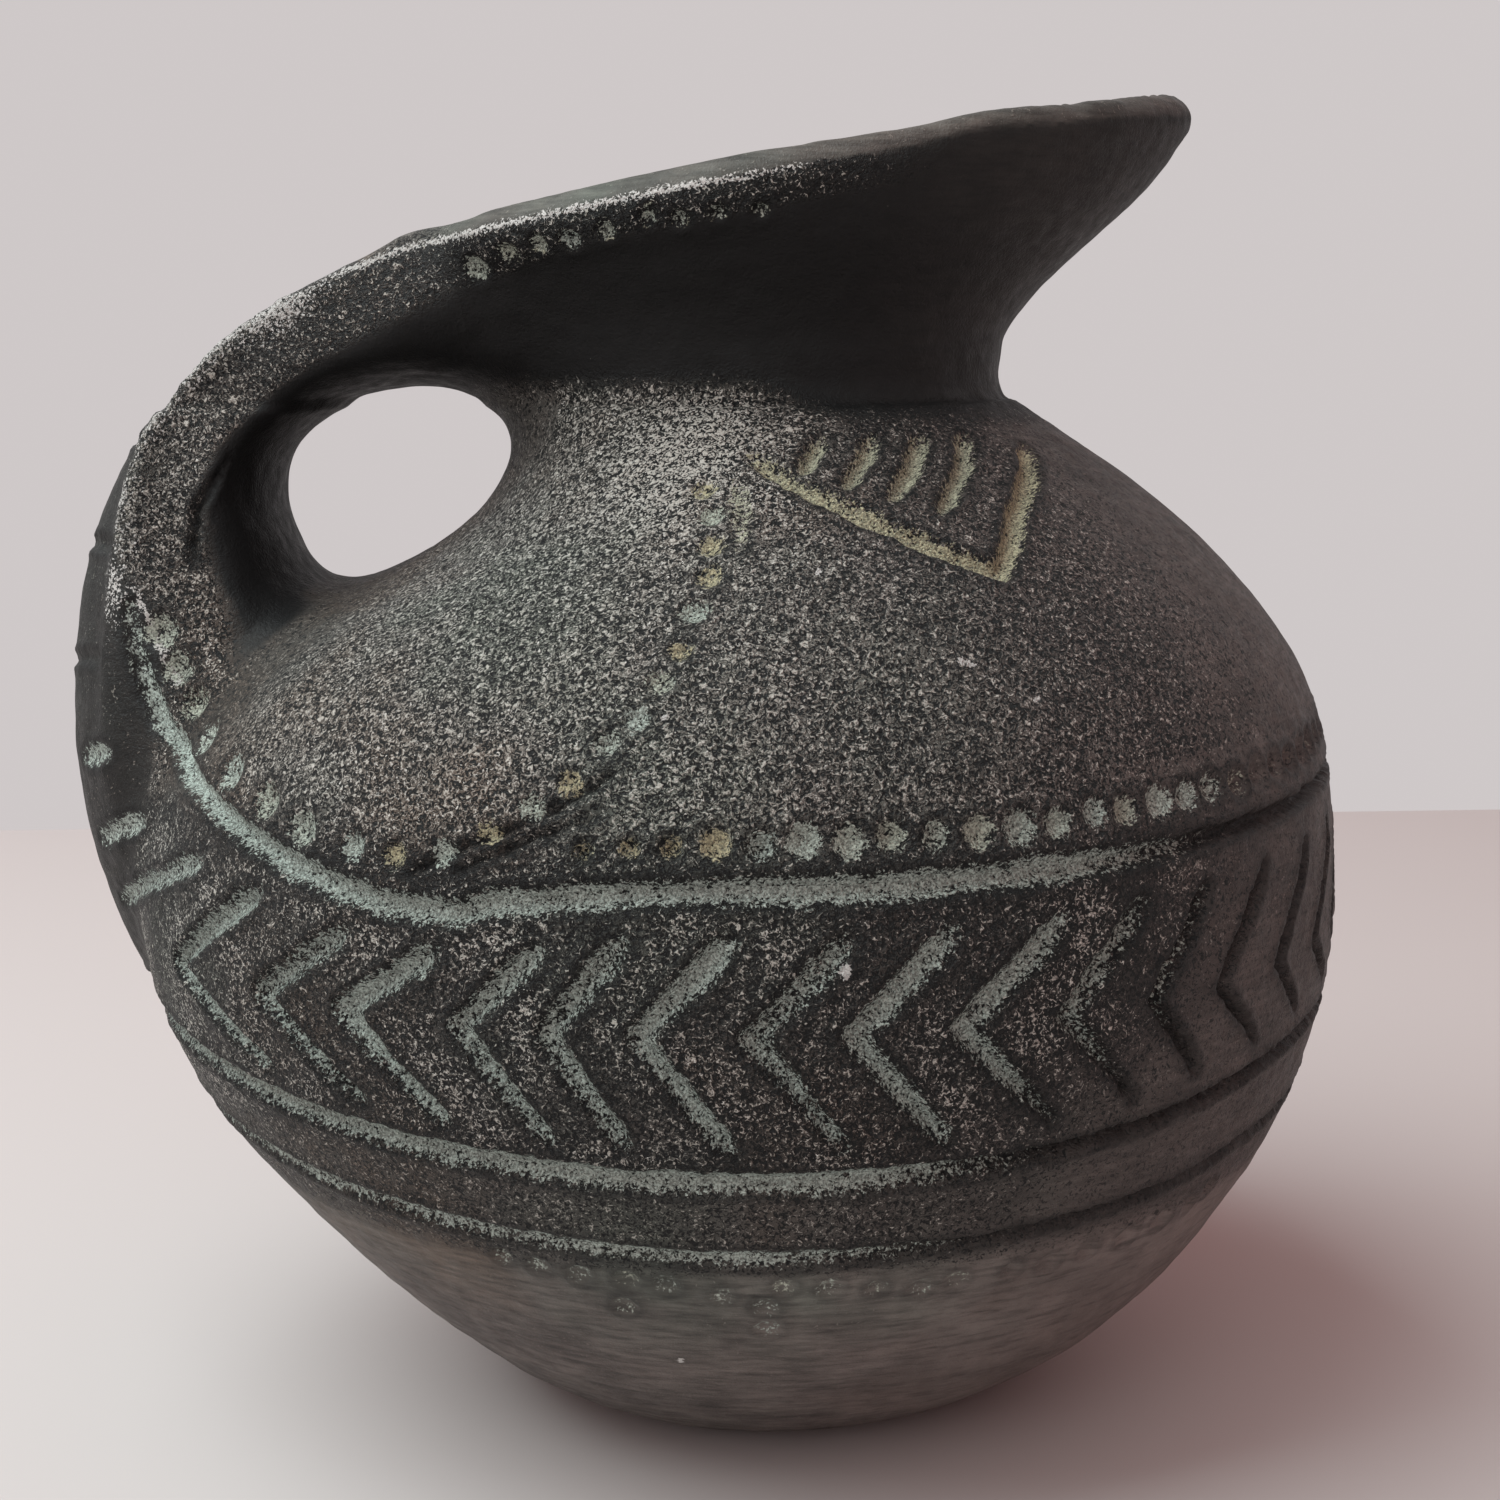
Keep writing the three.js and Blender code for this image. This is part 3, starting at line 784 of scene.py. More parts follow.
def even_path(path, step=stroke_step):
    lengths = np.linalg.norm(np.diff(path, axis=0), axis=1)
    reach = np.concatenate([[0], np.cumsum(lengths)])
    count = max(int(reach[-1] / step), 1)
    places = np.linspace(0, reach[-1], count + 1)
    return np.stack([np.interp(places, reach, path[:, k]) for k in range(3)], axis=1)


def on_skin(spot):
    return np.array(skin_tree.find_nearest(Vector(spot))[0])


def cut_stroke(name, path, half=groove_half, end_half=None, depth=groove_depth, paste=1.0, hue=0.0,
               fade=2):
    laid = np.array([on_skin(p) for p in even_path(path)])
    halves = np.linspace(half * mm, (end_half or half) * mm, len(laid))
    reach = np.arange(len(laid)) * stroke_step
    ease = smooth(np.minimum(reach, reach[-1] - reach), -0.5 * fade * mm, fade * mm)
    strokes.append({
        "name": name, "path": laid, "halves": halves, "ease": ease, "depth": depth * mm, "paste": paste,
        "hue": hue,
    })


def fine_stations(stations, step=1.5):
    fine_list = [stations[0]]
    for (a, low), (b, high) in zip(stations[:-1], stations[1:]):
        count = max(int(max(abs(b - a), abs(high - low) / mm) / step), 1)
        shares = [i / count for i in range(1, count + 1)]
        fine_list += [(blend(a, b, share), blend(low, high, share)) for share in shares]
    return fine_list


photo_side = 1500
focal_pixels = photo_side * camera_data.lens / camera_data.sensor_width


def seen_path(pixels, side=near):
    spots = []
    for column, row in pixels:
        ahead = Vector((column - photo_side / 2, photo_side / 2 - row, -focal_pixels))
        spot = skin_tree.ray_cast(camera_place, camera.matrix_world.to_3x3() @ ahead.normalized())[0]
        if spot is None:
            print("nothing is seen at", column, row)
            continue
        spots.append((spot.x, -side * spot.y, spot.z))
    return np.array(spots)


print("skin tree ready, focal length in pixels", focal_pixels)

# %% The three lines


def line_height(below_belly, front_rise, angle):
    return belly_height - below_belly + front_rise * math.cos(math.radians(angle)) ** 2


def upper_line(angle):
    return line_height(-12.5 * mm, 3 * mm, angle) - 3 * mm * hump(abs(angle), 118, 13)


def lower_line(angle):
    return line_height(17.8 * mm, 7 * mm, angle)


def second_line(angle):
    return line_height(26.8 * mm, 6 * mm, angle)


upper_end = 112
line_up_handle = [
    (454, 914), (391, 905), (341, 889), (292, 864), (250, 836), (214, 806), (187, 768), (162, 722),
    (146, 679), (134, 636), (130, 605),
]
around_front = wall_path([(a, upper_line(a)) for a in range(upper_end, -upper_end - 1, -2)])
cut_stroke("upper_line", np.vstack([
    seen_path(line_up_handle, far)[::-1], around_front, seen_path(line_up_handle, near),
]), fade=22)
cut_stroke("lower_line", wall_path([(a, lower_line(a)) for a in range(-180, 181, 3)]), half=1.25)
cut_stroke("second_line", wall_path([(a, second_line(a)) for a in range(-180, 181, 3)]), half=1.0,
           depth=0.7, paste=0.75)
root_strokes = [
    [(123, 898), (160, 878), (201, 861)], [(101, 838), (120, 828), (143, 821)], [(84, 757), (108, 753)],
]
for side in (near, far):
    for pixels in root_strokes:
        cut_stroke("root_stroke", seen_path(pixels, side), half=1.2, depth=0.6, paste=0.8)
print("lines:", len(strokes))

# %% Chevrons
chevron_angles = [
    (149.7, 14), (135.2, 10), (125.7, 8.7), (114.8, 6.6), (107.6, 5.6), (100.6, 6.6),
    (92.4, 7.6), (84.3, 8.4), (75, 9.2), (65.3, 8), (55.7, 6.4), (47.4, 7.2),
    (37.6, 6.4), (28.5, 7), (19.5, 7), (10.5, 7.4),
]
for side_name, side in sides.items():
    for number, (apex, arm) in enumerate(chevron_angles, 1):
        end = apex - arm
        top = (side * end, upper_line(end) - 5 * mm)
        foot = (side * end, lower_line(end) + 3.6 * mm)
        point = (side * apex, belly_height - 2 * mm)
        cut_stroke(f"chevron_{side_name}_{number:02d}", wall_path(fine_stations([top, point, foot])),
                   half=1.5, end_half=0.85, paste=0.86 + 0.14 * math.sin(2.4 * number))
print("strokes with the chevrons:", len(strokes))

# %% Triangles that hang from the neck
triangle_left = 94
triangle_right = 39.3
triangle_point = 63.4
triangle_top = neck_foot - 6.1 * mm
triangle_depth = 11.4 * mm
for side_name, side in sides.items():
    corners = [
        (side * triangle_left, triangle_top),
        (side * triangle_point, triangle_top - triangle_depth),
        (side * (blend(triangle_point, triangle_right, 0.5) + 3.2), triangle_top - triangle_depth / 2),
        (side * triangle_right, triangle_top),
    ]
    cut_stroke(f"triangle_{side_name}", wall_path(fine_stations(corners)), half=1.25, hue=0.9)
    for i in range(4):
        top_share = 0.225 + 0.18 * i
        foot_share = 0.27 + 0.205 * i
        top = (side * blend(triangle_left, triangle_right, top_share), triangle_top + 1.6 * mm)
        foot = (side * blend(triangle_left, triangle_point, foot_share),
                triangle_top - triangle_depth * foot_share * 0.55)
        cut_stroke(f"hatch_{side_name}_{i + 1}", wall_path(fine_stations([top, foot])),
                   half=1.15, end_half=0.95, hue=0.7)
    faint = seen_path([(737, 482), (742, 515), (740, 548)], side)
    cut_stroke("faint_stroke", faint, half=0.95, depth=0.3, paste=0.6, hue=0.6)
print("strokes with the triangles:", len(strokes))

# %% Strokes on the crown and cracks
crown_strokes = [0.262, 0.345, 0.4, 0.5, 0.62]
arm_rise = 0.03
for place in crown_strokes:
    for side in (near, far):
        turns = np.linspace(0.12, 0.86 * ridge_turn, 8)
        arm = strap_point(place - arm_rise * turns / ridge_turn, side * turns)
        cut_stroke("crown_stroke", arm, half=0.5, end_half=1, depth=0.5, paste=0.0, fade=5)
cracks = [
    [(407, 873), (470, 845), (540, 818), (567, 803), (613, 773)], [(453, 870), (520, 843), (600, 813)],
    [(230, 455), (196, 510), (192, 560)],
]
for side in (near, far):
    for pixels in cracks:
        cut_stroke("crack", seen_path(pixels, side), half=0.3, depth=0.8, paste=0.0)
print("strokes with the crown and the cracks:", len(strokes))

# %% [markdown]
# ## Rows of dots
# A round-ended stick was pressed in all along the upper line, down a hanging swag from the neck
# to the handle, up the handle, under the rim and below the second line. The first row is evenly
# spaced, with each press a hair off its place, as a hand leaves it. The others lie where the
# photograph shows them. Some hold ochre paste, most a pale one.

# %% Rows of dots
dots = []
rng = np.random.default_rng(7)


def press(spot, radius, depth, paste, ochre):
    hue = 1.0 if rng.random() < ochre else rng.uniform(0, 0.35)
    dots.append({
        "place": on_skin(spot), "radius": radius * mm * rng.uniform(0.88, 1.12),
        "depth": depth * mm * rng.uniform(0.8, 1.15), "paste": paste * rng.uniform(0.75, 1), "hue": hue,
    })


def press_row(path, pitch, radius, depth, paste, small_first):
    for i, spot in enumerate(even_path(path, pitch * mm)):
        size, ochre = (0.72, 0.9) if i < small_first else (1, 0.06)
        press(spot + rng.normal(0, 0.18 * mm, 3), radius * size, depth, paste * size, ochre)


swag_dots = [
    (703, 489), (712, 516), (712, 546), (709, 577), (694, 612), (681, 651), (661, 682), (637, 720),
    (607, 744), (570, 783), (532, 808), (488, 833), (443, 853), (394, 856), (352, 846),
]
dots_up_handle = [(302, 827), (266, 801), (231, 772), (207, 737), (195, 704), (176, 668), (161, 632)]
rim_dots = [
    (477, 268), (508, 253), (538, 243), (570, 240), (605, 230), (647, 216), (680, 218), (718, 212),
    (760, 210),
]
low_dots = [
    (502, 1255), (538, 1265), (580, 1274), (627, 1280), (666, 1285), (722, 1296), (624, 1305),
    (784, 1287), (766, 1307), (768, 1328), (831, 1288), (876, 1288), (920, 1287), (956, 1280),
    (1011, 1270), (1049, 1262), (1087, 1250), (1127, 1235), (1161, 1219), (1188, 1204), (1209, 1186),
]
for side in (near, far):
    row = [(side * a, upper_line(a) + 4.6 * mm) for a in range(105, 8, -3)]
    press_row(wall_path(row), 4.25, 1.65, 1.0, 1.1, small_first=3)
    for spot in seen_path(swag_dots, side):
        press(spot, 1.5, 0.65, 0.95, ochre=0.35)
    for spot in seen_path(low_dots, side):
        press(spot, 1.3, 0.6, 0.36, ochre=0.05)
    for spot in seen_path(dots_up_handle, side):
        press(spot, 2, 0.9, 0.85, ochre=0)
    for i, spot in enumerate(seen_path(rim_dots, side)):
        press(spot, 1.45 - 0.07 * i, 0.8, 1 - 0.06 * i, ochre=0)
print("dots:", len(dots))

# %% [markdown]
# ## Pressing the marks into the skin
# For every point of the skin the nearest station of a stroke is looked up. A groove is round in
# section, and a little clay is pushed up along its edges. The same distance tells later where
# paste lies. Towards the spout the paste has worn off, and the bare grooves are narrow and deep.

# %% Press the strokes
stations = np.vstack([stroke["path"] for stroke in strokes])
owner = np.concatenate([np.full(len(stroke["path"]), i) for i, stroke in enumerate(strokes)])


def values_of(marks, name, numbers):
    return np.hstack([mark[name] for mark in marks])[numbers]


station_of, away = nearest_of(stations, points)
owner_of = owner[station_of]
ease_of = values_of(strokes, "ease", station_of)
half_of = values_of(strokes, "halves", station_of) * (0.65 + 0.35 * ease_of)
turn_from_spout = np.abs(np.degrees(np.arctan2(y, x)))
bare_turn = blend(80, 55, smooth(z, 34 * mm, 66 * mm))
bare_turn = blend(bare_turn, 20, smooth(z, band_top, 96 * mm))
paste_left = 0.04 + 0.96 * smooth(turn_from_spout, bare_turn - 11, bare_turn + 11)
half_of *= 0.5 + 0.5 * paste_left
wobble = layered_noise(points, 260, 5) * 0.3 * mm + layered_noise(points, 900, 6) * 0.3 * mm
edge = away + wobble
sunk = values_of(strokes, "depth", owner_of) * (1 - smooth(edge, 0.15 * half_of, half_of + 0.35 * mm))
sunk *= (0.3 + 0.7 * ease_of) * (1.45 - 0.45 * paste_left)
burr = 0.2 * mm * hump(edge, half_of + 0.7 * mm, 0.5 * mm) * ease_of
groove_cover = 1 - smooth(edge, 0.5 * half_of, 1.3 * half_of)
stroke_paste = values_of(strokes, "paste", owner_of) * groove_cover * (0.3 + 0.7 * ease_of) * paste_left
print("points in the grooves:", int((stroke_paste > 0.5).sum()))

# %% Press the dots
dot_of, dot_away = nearest_of([dot["place"] for dot in dots], points)
dot_radius = values_of(dots, "radius", dot_of)
dot_edge = dot_away + wobble * 0.6
outside_skin = (body_reach(points, 0) > 0.93) | (z > neck_foot)
dimple = values_of(dots, "depth", dot_of) * (1 - smooth(dot_edge, 0.2 * dot_radius, 1.2 * dot_radius))
dot_burr = 0.16 * mm * hump(dot_edge, 1.4 * dot_radius, 0.45 * mm)
dot_cover = (1 - smooth(dot_edge, 0.6 * dot_radius, 1.2 * dot_radius)) * outside_skin
dot_paste = values_of(dots, "paste", dot_of) * dot_cover
pressed = np.maximum(sunk, dimple * outside_skin) - np.maximum(burr, dot_burr * outside_skin)
marked = points - normals * pressed[:, None]
marked[:, 2] = np.maximum(marked[:, 2], 0)
set_points(clay, marked)
dot_paste *= 0.1 + 0.9 * smooth(turn_from_spout, bare_turn - 16, bare_turn - 4)
paste_amount = np.maximum(stroke_paste, dot_paste)
paste_hue = np.where(
    dot_paste > stroke_paste, values_of(dots, "hue", dot_of), values_of(strokes, "hue", owner_of),
)
print("points in the dots:", int((dot_paste > 0.3).sum()))

# %% [markdown]
# ## Tones painted on the skin
# The materials need to know where they are. Tone is how thickly pale sand lies on the dark
# ground, level is how light the ground is painted, burnish is how smoothly it was rubbed, and
# the worn amount is where hands have polished it, together with painted highlights on the
# handle's ridge and side, on the rim's edge and in a few bright specks. Tone and level also
# carry painted light: a highlight on the shoulder, and shade beside the handle and on its inner
# face, round the dots, along and inside the grooves and in the cracks. The near black of the neck
# and mouth is partly soot and partly painted shade. Warm turns the ash from grey-green to a
# reddish brown, paste is how much of the rubbed-in paste is left, and hue turns that from pale to
# ochre. These amounts are stored on the skin's points.

# %% Zones of tone
# the neck and mouth are painted near black, partly as soot and partly as painted shade under the
# mouth's flare
soot_and_shade_edge = blend(117.5 * mm, 121.5 * mm, smooth(turn_from_spout, 70, 100))
shoulder = smooth(z, 74 * mm, 80 * mm) * (1 - smooth(z, soot_and_shade_edge - 2 * mm, soot_and_shade_edge + 1.5 * mm))
band = plateau(z, 43 * mm, 46 * mm, 72 * mm, 77 * mm)
between_lines = plateau(z, 33 * mm, 36 * mm, 43 * mm, 46 * mm)
low_bowl = 1 - smooth(z, 32 * mm, 36 * mm)
soot_and_shade_zone = smooth(z, soot_and_shade_edge - mm, soot_and_shade_edge + 3 * mm)
left = smooth(turn_from_spout, 55, 105)
# painted highlight on the shoulder, left of the neck: a lighter ground and more pale grains
shoulder_highlight = hump(turn_from_spout, 104, 14) * hump(z, 114 * mm, 6 * mm)
rubbed = (1 - smooth(turn_from_spout, bare_turn - 16, bare_turn + 12)) * (z < band_top)
rubbed = np.maximum(rubbed, (1 - smooth(turn_from_spout, 25, 60)) * shoulder) * (1 - soot_and_shade_zone)
tone = shoulder * (0.03 + 0.22 * left + 0.8 * shoulder_highlight) + band * (0.03 + 0.12 * left)
tone += 0.5 * band * layered_noise(points, 130, 9)
tone -= 0.02 * between_lines + 0.2 * low_bowl + 0.62 * soot_and_shade_zone + 0.3 * rubbed
level = (0.5 + 0.34 * left + 0.2 * shoulder_highlight) * shoulder + (0.2 + 0.12 * left) * band
level += 0.38 * between_lines + (1 - 0.3 * left) * low_bowl + 0.01 * soot_and_shade_zone
level = np.maximum(level, 0.42 * rubbed)
burnish = 0.05 * shoulder + 0.3 * between_lines + 0.85 * low_bowl + 0.85 * soot_and_shade_zone
burnish = np.maximum(burnish, 0.65 * rubbed)
warm = 0.9 * (1 - smooth(turn_from_spout, 45, 100))
warm = np.maximum(warm, 0.75 * (1 - smooth(z, 18 * mm, 34 * mm))) * (1 - 0.45 * soot_and_shade_zone)
# painted shade on the shoulder beside and below the handle: a darker ground with fewer pale grains; the
# clay there is also burnished smoother
shade_by_handle = (1 - smooth(handle_gap, 4 * mm, 22 * mm)) * (1 - on_handle) * shoulder
level *= 1 - 0.6 * shade_by_handle
tone -= 0.3 * shade_by_handle
burnish = np.maximum(burnish, 0.5 * shade_by_handle)
print("tone from", tone.min().round(2), "to", tone.max().round(2))

# %% Handle, lip and marks
crown_edge = 0.8 + 0.42 * smooth(handle_share, 0.44, 0.58)
crown_zone = 1 - smooth(handle_turn, crown_edge, crown_edge + 0.15)
# painted shade: the handle's inner face, turned to the hole, is painted near black without pale grains;
# it is also burnished
shaded_inner_face = smooth(handle_turn, 1.65, 1.9) * (1 - smooth(handle_share, 0.5, 0.7))
side_zone = (1 - crown_zone) * (1 - shaded_inner_face)
mid_handle = smooth(handle_share, 0.2, 0.34)
handle_tone = side_zone * (0.05 + 0.17 * mid_handle) - 0.12 * crown_zone - 0.7 * shaded_inner_face
handle_level = (0.14 + 0.34 * mid_handle) * side_zone + 0.08 * crown_zone
handle_burnish = 0.1 * side_zone + 0.7 * crown_zone + 0.85 * shaded_inner_face
tone = blend(tone, handle_tone, on_handle)
level = blend(level, handle_level, on_handle)
burnish = blend(burnish, handle_burnish, on_handle)
warm = blend(warm, 0.1, on_handle)
by_mouth = z > 130 * mm
on_lip = smooth(above_rim, 0.1 * mm, 0.6 * mm) * by_mouth * (x > -46 * mm)
level = blend(level, 0.56 - 0.12 * smooth(x, 10 * mm, 40 * mm), on_lip)
tone = blend(tone, -0.15, on_lip)
rough_depth = blend(-4.2 * mm, -2.4 * mm, smooth(x, -36 * mm, -16 * mm))
under_rim = smooth(above_rim, rough_depth - mm, rough_depth) * (1 - smooth(x, -4 * mm, 24 * mm))
under_rim *= (1 - on_lip) * (1 - on_handle) * by_mouth
tone = blend(tone, 0.08, under_rim)
level = blend(level, 0.08, under_rim)
burnish = blend(burnish, 0, under_rim)
level += 0.085 * smooth(x, 5 * mm, 35 * mm) * soot_and_shade_zone * (1 - on_lip)
# worn and painted bright: the handle's ridge, the side face below it and the rim's edge are polished
# and painted lighter as highlights
ridge_wear_and_highlight = plateau(handle_share, 0.05, 0.12, 0.48, 0.6) * hump(handle_turn, ridge_turn, 0.1)
ridge_wear_and_highlight *= 0.5 + 0.75 * smooth(layered_noise(points, 230, 8), -0.1, 0.25)
face_wear_and_highlight = hump(handle_turn, 1.12, 0.16) * hump(handle_share, 0.2, 0.04)
rim_wear_and_highlight = hump(above_rim, 0.35 * mm, 0.42 * mm) * (1 - smooth(x, -6 * mm, 10 * mm)) * by_mouth
rim_wear_and_highlight *= 1 - crown_zone * on_handle
wear_and_highlight = np.clip((0.7 * ridge_wear_and_highlight + 0.6 * face_wear_and_highlight) * on_handle + rim_wear_and_highlight, 0, 1)
# painted shade: a darker ring round each dot, darker for deeper dots, and a darker band along each
# groove's edges
dot_edge_shade = hump(dot_edge, 1.3 * dot_radius, 0.55 * mm) * outside_skin
dot_edge_shade *= values_of(dots, "depth", dot_of) / mm
mark_edge_shade = np.maximum(hump(edge, half_of + 0.5 * mm, 0.55 * mm), dot_edge_shade)
level *= 1 - 0.6 * mark_edge_shade
tone -= 0.3 * mark_edge_shade
# painted shade: the cracks and the bare grooves are painted darker inside
crack_of = np.array([stroke["name"] == "crack" for stroke in strokes])[owner_of]
crack_shade = crack_of * (1 - smooth(edge, 0.1 * mm, 0.5 * mm))
bare_groove_shade = groove_cover * (1 - paste_left)
level *= (1 - 0.85 * crack_shade) * (1 - 0.7 * bare_groove_shade)
tone -= 0.5 * crack_shade
# bright specks of polish: the first five are a short painted highlight streak on the shoulder, the
# others pale specks
glint_and_chalk_specks = [
    ((962, 661), 0.5), ((972, 665), 0.45), ((984, 676), 0.25), ((1002, 689), 0.2), ((1038, 699), 0.25),
    ((845, 970), 0.6), ((665, 718), 0.4), ((818, 571), 0.3), ((495, 1315), 0.25), ((681, 1361), 0.3),
]
# a worn line down the handle's side, polished and painted bright as a highlight
wear_and_highlight_line = [(133, 585), (144, 612), (150, 630), (160, 648), (168, 666), (176, 682)]


def wear_and_highlight_spot(spot, brightness, full, end):
    gap = np.linalg.norm(points - spot, axis=1) + wobble
    np.maximum(wear_and_highlight, brightness * (1 - smooth(gap, full, end)), out=wear_and_highlight)


for pixel, size in glint_and_chalk_specks:
    for spot in seen_path([pixel]):
        wear_and_highlight_spot(spot, 1.6, 0.5 * size * mm, 1.4 * size * mm)
for side in (near, far):
    for spot in even_path(seen_path(wear_and_highlight_line, side), 0.5 * mm):
        wear_and_highlight_spot(spot, 0.9, 0.3 * mm, 0.8 * mm)


def paint_mesh(mesh, amounts):
    for name, values in amounts.items():
        layer = mesh.attributes.new(name, "FLOAT", "POINT")
        layer.data.foreach_set("value", np.full(len(mesh.vertices), values, dtype=np.float32))
    mesh.shade_smooth()


amounts = {
    "paste": paste_amount, "hue": paste_hue, "tone": tone, "level": level, "burnish": burnish,
    "warm": warm, "wear_and_highlight": wear_and_highlight,
}
paint_mesh(clay, amounts)
print("painted:", ", ".join(amounts))

# %% [markdown]
# ## The ware
# The clay is full of sand, black from smoke, and was rubbed before firing, so its face is a
# dark ground with a dense stipple of pale grains. How many grains show follows the tone, and
# their colour drifts between grey-green and brown, with some grains painted as bright glints.
# Where it was burnished the ground is streaked by fine scuffs that run round the pot, and where
# it wasn't, the rubbed raised crests of the grain are painted pale as highlights and the pits
# between them black as shade. Where the paste amount is high, a broken crust of pale or ochre
# paste shows instead, and where hands wore the clay the grains are polished and painted bright
# as highlights.

# %% Material helpers


def amount(tree, name):
    return node(tree, "ShaderNodeAttribute", attribute_name=name).outputs["Fac"]


def ramp(source, stops):
    made_ramp = node(tree_of(source), "ShaderNodeValToRGB", {"Fac": source})
    elements = made_ramp.color_ramp.elements
    while len(elements) < len(stops):
        elements.new(0.5)
    for element, (place, colour) in zip(elements, stops):
        element.position = place
        element.color = (*colour, 1)
    return made_ramp.outputs["Color"]


def grey(level):
    return (level, level, level)


def step(source, low, high):
    return ramp(source, [(low, grey(0)), (high, grey(1))])


def grain(spot, scale, detail=2.0, roughness=0.6, distortion=0.0):
    return node(tree_of(spot), "ShaderNodeTexNoise", {
        "Vector": spot, "Scale": scale, "Detail": detail, "Roughness": roughness,
        "Distortion": distortion,
    }).outputs["Fac"]


def mix(share, a, b):
    mixed = node(tree_of(share, a, b), "ShaderNodeMix", {0: share, 6: a, 7: b}, data_type="RGBA")
    return mixed.outputs[2]


def spread(source, gain):
    return times(maths("SUBTRACT", source, 0.5), gain)


print("material helpers ready")

# %% Smoked clay
# near black of smoked clay, also the colour of the painted shade
soot_and_shade_black = (0.0068, 0.0068, 0.007, 1)
grey_ash = (0.160, 0.174, 0.149)
ash_between = (0.177, 0.168, 0.150)
brown_ash = (0.165, 0.132, 0.106)
warm_ash = (0.190, 0.156, 0.144, 1)
glint = (0.66, 0.66, 0.62, 1)
# pale grey of the painted highlights on rubbed, raised crests
rubbed_crest_highlight = (0.78, 0.77, 0.70, 1)
# bright grey of worn grains, painted as highlights
polished_grain_highlight = (0.50, 0.50, 0.48, 1)
grey_paste = (0.45, 0.53, 0.48, 1)
ochre_paste = (0.50, 0.47, 0.31, 1)
dirt = (0.06, 0.06, 0.055, 1)
polished_rough = (0.36, 0.36, 0.36, 1)
paste_rough = (0.85, 0.85, 0.85, 1)


def smoked_clay(name, gloss):
    paint = bpy.data.materials.new(name)
    paint.use_nodes = True
    tree = paint.node_tree
    spot = node(tree, "ShaderNodeTexCoord").outputs["Object"]
    names = ("tone", "level", "burnish", "warm", "wear_and_highlight", "paste", "hue")
    tone, level, burnish, warm, wear_and_highlight, paste, hue = [amount(tree, name) for name in names]
    coarse = maths("SUBTRACT", 1.0, burnish)
    drift = grain(spot, 32.0, 3.0)
    patches = grain(spot, 120.0, 3.0, 0.6)
    clods = grain(spot, 520.0, 3.0, 0.7)
    worms = grain(spot, 2050.0, 2.0, 0.6, 1.2)
    sand = grain(spot, 2250.0, 2.0, 0.7, 0.5)
    grit = grain(spot, 3800.0, 1.0, 0.5, 0.3)
    wiped_along = node(tree, "ShaderNodeVectorMath", {0: spot, 1: (1, 1, 8)}, operation="MULTIPLY")
    scuffs = spread(grain(wiped_along.outputs[0], 190.0, 4.0, 0.65, 0.3), 2.3)

    ash = mix(warm, ramp(drift, [(0.4, grey_ash), (0.53, ash_between), (0.66, brown_ash)]), warm_ash)
    scuffed = plus(1.0, times(scuffs, plus(burnish, 0.2)))
    ground = mix(times(level, scuffed), soot_and_shade_black, ash)
    ground = mix(times(step(patches, 0.35, 0.65), 0.35), ground, soot_and_shade_black)
    bright = mix(times(step(grit, 0.46, 0.64), step(tone, -0.1, 0.25)), ash, glint)
    cover = plus(tone, spread(sand, 3.6), spread(clods, 0.9), spread(patches, 0.5))
    body = mix(step(cover, 0.42, 0.6), ground, bright)
    # painted light and shade of the grain's relief where it is not burnished: rubbed raised crests are
    # painted pale as highlights, and pits black as shade
    rubbed_and_lit_crests = step(plus(spread(worms, 3.6), times(tone, 0.5)), 0.4, 0.62)
    rubbed_and_lit_crests = times(rubbed_and_lit_crests, step(coarse, 0.3, 0.8))
    body = mix(times(rubbed_and_lit_crests, 0.9), body, mix(0.5, ash, rubbed_crest_highlight))
    pit_shade = step(maths("SUBTRACT", times(coarse, 0.46), spread(worms, 3.6)), 0.4, 0.54)
    body = mix(times(pit_shade, step(coarse, 0.15, 0.4)), body, soot_and_shade_black)

    # worn grains are polished to a lower roughness and painted bright as highlights
    polish_and_highlight = step(plus(times(wear_and_highlight, 0.76), spread(sand, 2.0), spread(grit, 1.4)), 0.42, 0.62)
    polish_and_highlight = times(polish_and_highlight, step(wear_and_highlight, 0.02, 0.2))
    body = mix(polish_and_highlight, body, polished_grain_highlight)

    crust = plus(times(paste, 0.82), spread(sand, 2.6), spread(worms, 1.8), spread(clods, 1.0))
    crust = times(step(crust, 0.38, 0.62), step(paste, 0.02, 0.2))
    chalk = mix(hue, grey_paste, ochre_paste)
    chalk = mix(step(grit, 0.4, 0.62), mix(0.62, chalk, dirt), chalk)

    rough = mix(polish_and_highlight, ramp(clods, [(0.3, grey(0.45)), (0.7, grey(0.66))]), polished_rough)
    height = plus(times(worms, 0.9), times(clods, 0.8), times(sand, 0.4))
    strength = maths("SUBTRACT", 1.0, times(burnish, 0.85))
    bump = node(tree, "ShaderNodeBump", {"Strength": strength, "Distance": 0.00075, "Height": height})
    shader = tree.nodes["Principled BSDF"].inputs
    shader["Specular IOR Level"].default_value = gloss
    tree.links.new(mix(crust, body, chalk), shader["Base Color"])
    tree.links.new(mix(crust, rough, paste_rough), shader["Roughness"])
    tree.links.new(bump.outputs["Normal"], shader["Normal"])
    return paint


ware = smoked_clay("smoked ware", 0.22)
# the neck and mouth, whose near black is partly soot and partly painted shade, reflect a little less
soot_and_shade_ware = smoked_clay("sooty ware", 0.18)
pale_paste = smoked_clay("pale paste", 0.22)
yellow_paste = smoked_clay("yellow paste", 0.22)
print("materials:", ware.name, soot_and_shade_ware.name, pale_paste.name, yellow_paste.name)

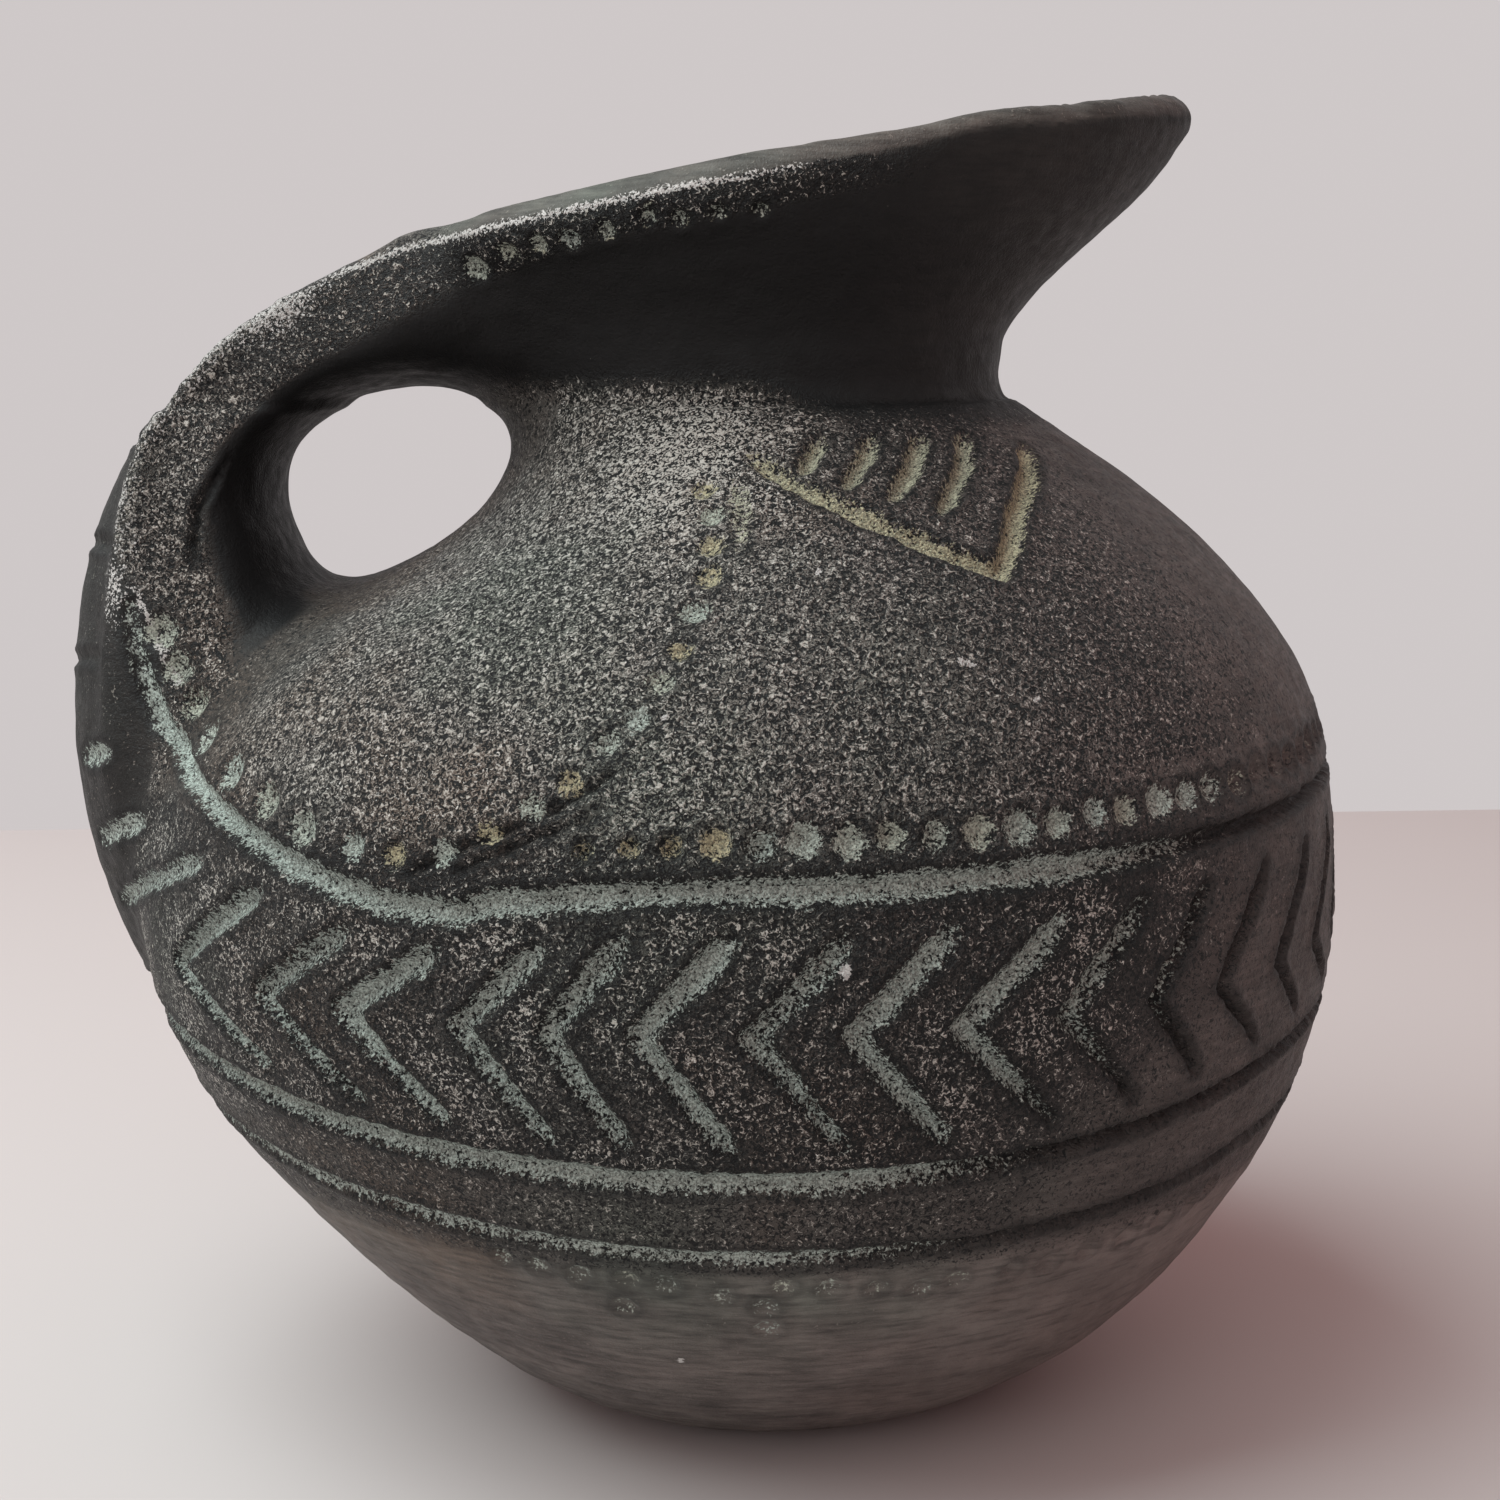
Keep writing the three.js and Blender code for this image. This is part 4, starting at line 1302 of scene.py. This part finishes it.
# %% [markdown]
# ## Parting the skin into the jug's pieces
# The finished skin is parted along the seams where the clay was joined: foot, lower bowl, belly
# band, shoulder, neck, mouth, handle and its root. The paste in each groove is a piece of its
# own too. The normals of the whole skin are kept on each part, so no seam shows.

# %% Zones of the skin
clay_zones = [
    ("foot_skin", "foot_disc", "dark_clay", ware),
    ("bowl_skin", "lower_bowl", "smoked_clay", ware),
    ("band_skin", "belly_band", "dark_clay", ware),
    ("dome_skin", "shoulder_dome", "smoked_clay", ware),
    ("collar_skin", "neck_collar", "dark_clay", soot_and_shade_ware),
    ("mouth_skin", "flared_mouth", "dark_clay", soot_and_shade_ware),
    ("strap_skin", "handle_strap", "handle_clay", ware),
    ("root_skin", "handle_root", "handle_clay", ware),
]
seams = [foot_top, bowl_top, band_top, neck_foot - mm, mouth_foot]
height = centres_of(clay)[:, 2]
zone = np.searchsorted(seams, height, side="right")
held = on_handle[face_corners].mean(axis=1) > 0.5
root_seam = blend(belly_height, neck_foot, 0.6)
zone = np.where(held, np.where(height > root_seam, 6, 7), zone)


def paste_node(stroke_name):
    words = stroke_name.split("_")
    words.insert(len(words) if "line" in words else 1, "paste")
    return "_".join(words)


paste_paints = {"pale_paste": pale_paste, "yellow_paste": yellow_paste}
paste_zones = []
face_cover = groove_cover[face_corners].mean(axis=1)
face_owner = owner_of[face_corners[:, 0]]
for number, stroke in enumerate(strokes):
    node_name = paste_node(stroke["name"])
    if node_name not in frame["nodes"]:
        continue
    slot_name = "yellow_paste" if stroke["hue"] > 0 else "pale_paste"
    in_groove = (face_owner == number) & (face_cover > 0.35)
    zone = np.where(in_groove, len(clay_zones) + len(paste_zones), zone)
    paste_zones.append((stroke["name"] + "_fill", node_name, slot_name, paste_paints[slot_name]))
by_name = {name: rest for name, *rest in clay_zones + paste_zones}
print("zones:", len(clay_zones), "of clay and", len(paste_zones), "of paste")

# %% Part the skin
kept = clay.attributes.new("skin_normal", "FLOAT_VECTOR", "POINT")
kept.data.foreach_set("vector", normals_of(clay).astype(np.float32).ravel())
for name in by_name:
    clay.materials.append(bpy.data.materials.new(name))
clay.polygons.foreach_set("material_index", zone.astype(np.int32))
whole = in_scene(clay)
bpy.context.view_layer.objects.active = whole
whole.select_set(True)
before = set(bpy.data.objects)
bpy.ops.object.mode_set(mode="EDIT")
bpy.ops.mesh.separate(type="MATERIAL")
bpy.ops.object.mode_set(mode="OBJECT")
parts = [obj for obj in bpy.data.objects if obj not in before] + [whole]
print("parts:", len(parts))

# %% Name the pieces and join them to the frame


def finish_part(obj):
    mesh = obj.data
    name = mesh.materials[mesh.polygons[0].material_index].name
    node_name, slot_name, paint = by_name[name]
    skin_normals = vectors_of(mesh.attributes["skin_normal"].data, "vector")
    mesh.attributes.remove(mesh.attributes["skin_normal"])
    mesh.materials.clear()
    mesh.materials.append(paint)
    mesh.polygons.foreach_set("material_index", np.zeros(len(mesh.polygons), dtype=np.int32))
    mesh.normals_split_custom_set_from_vertices(skin_normals)
    obj.name = name
    mesh.name = name
    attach(obj, "root")
    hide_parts(node_name)
    mesh.calc_loop_triangles()
    return name, len(mesh.loop_triangles)


counts = dict(finish_part(obj) for obj in parts)
print("largest pieces:", sorted(counts.items(), key=lambda item: -item[1])[:9])
print("triangles in all:", sum(counts.values()))

# %% The liner
liner_amounts = {
    "paste": 0, "hue": 0, "tone": 0.05, "level": 0.1, "burnish": 0.4, "warm": 0.3, "wear_and_highlight": 0,
}
paint_mesh(liner_mesh, liner_amounts)
liner_mesh.materials.clear()
liner_mesh.materials.append(ware)
liner = in_scene(liner_mesh)
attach(liner, "root")
print("liner:", len(liner_mesh.polygons), "faces")
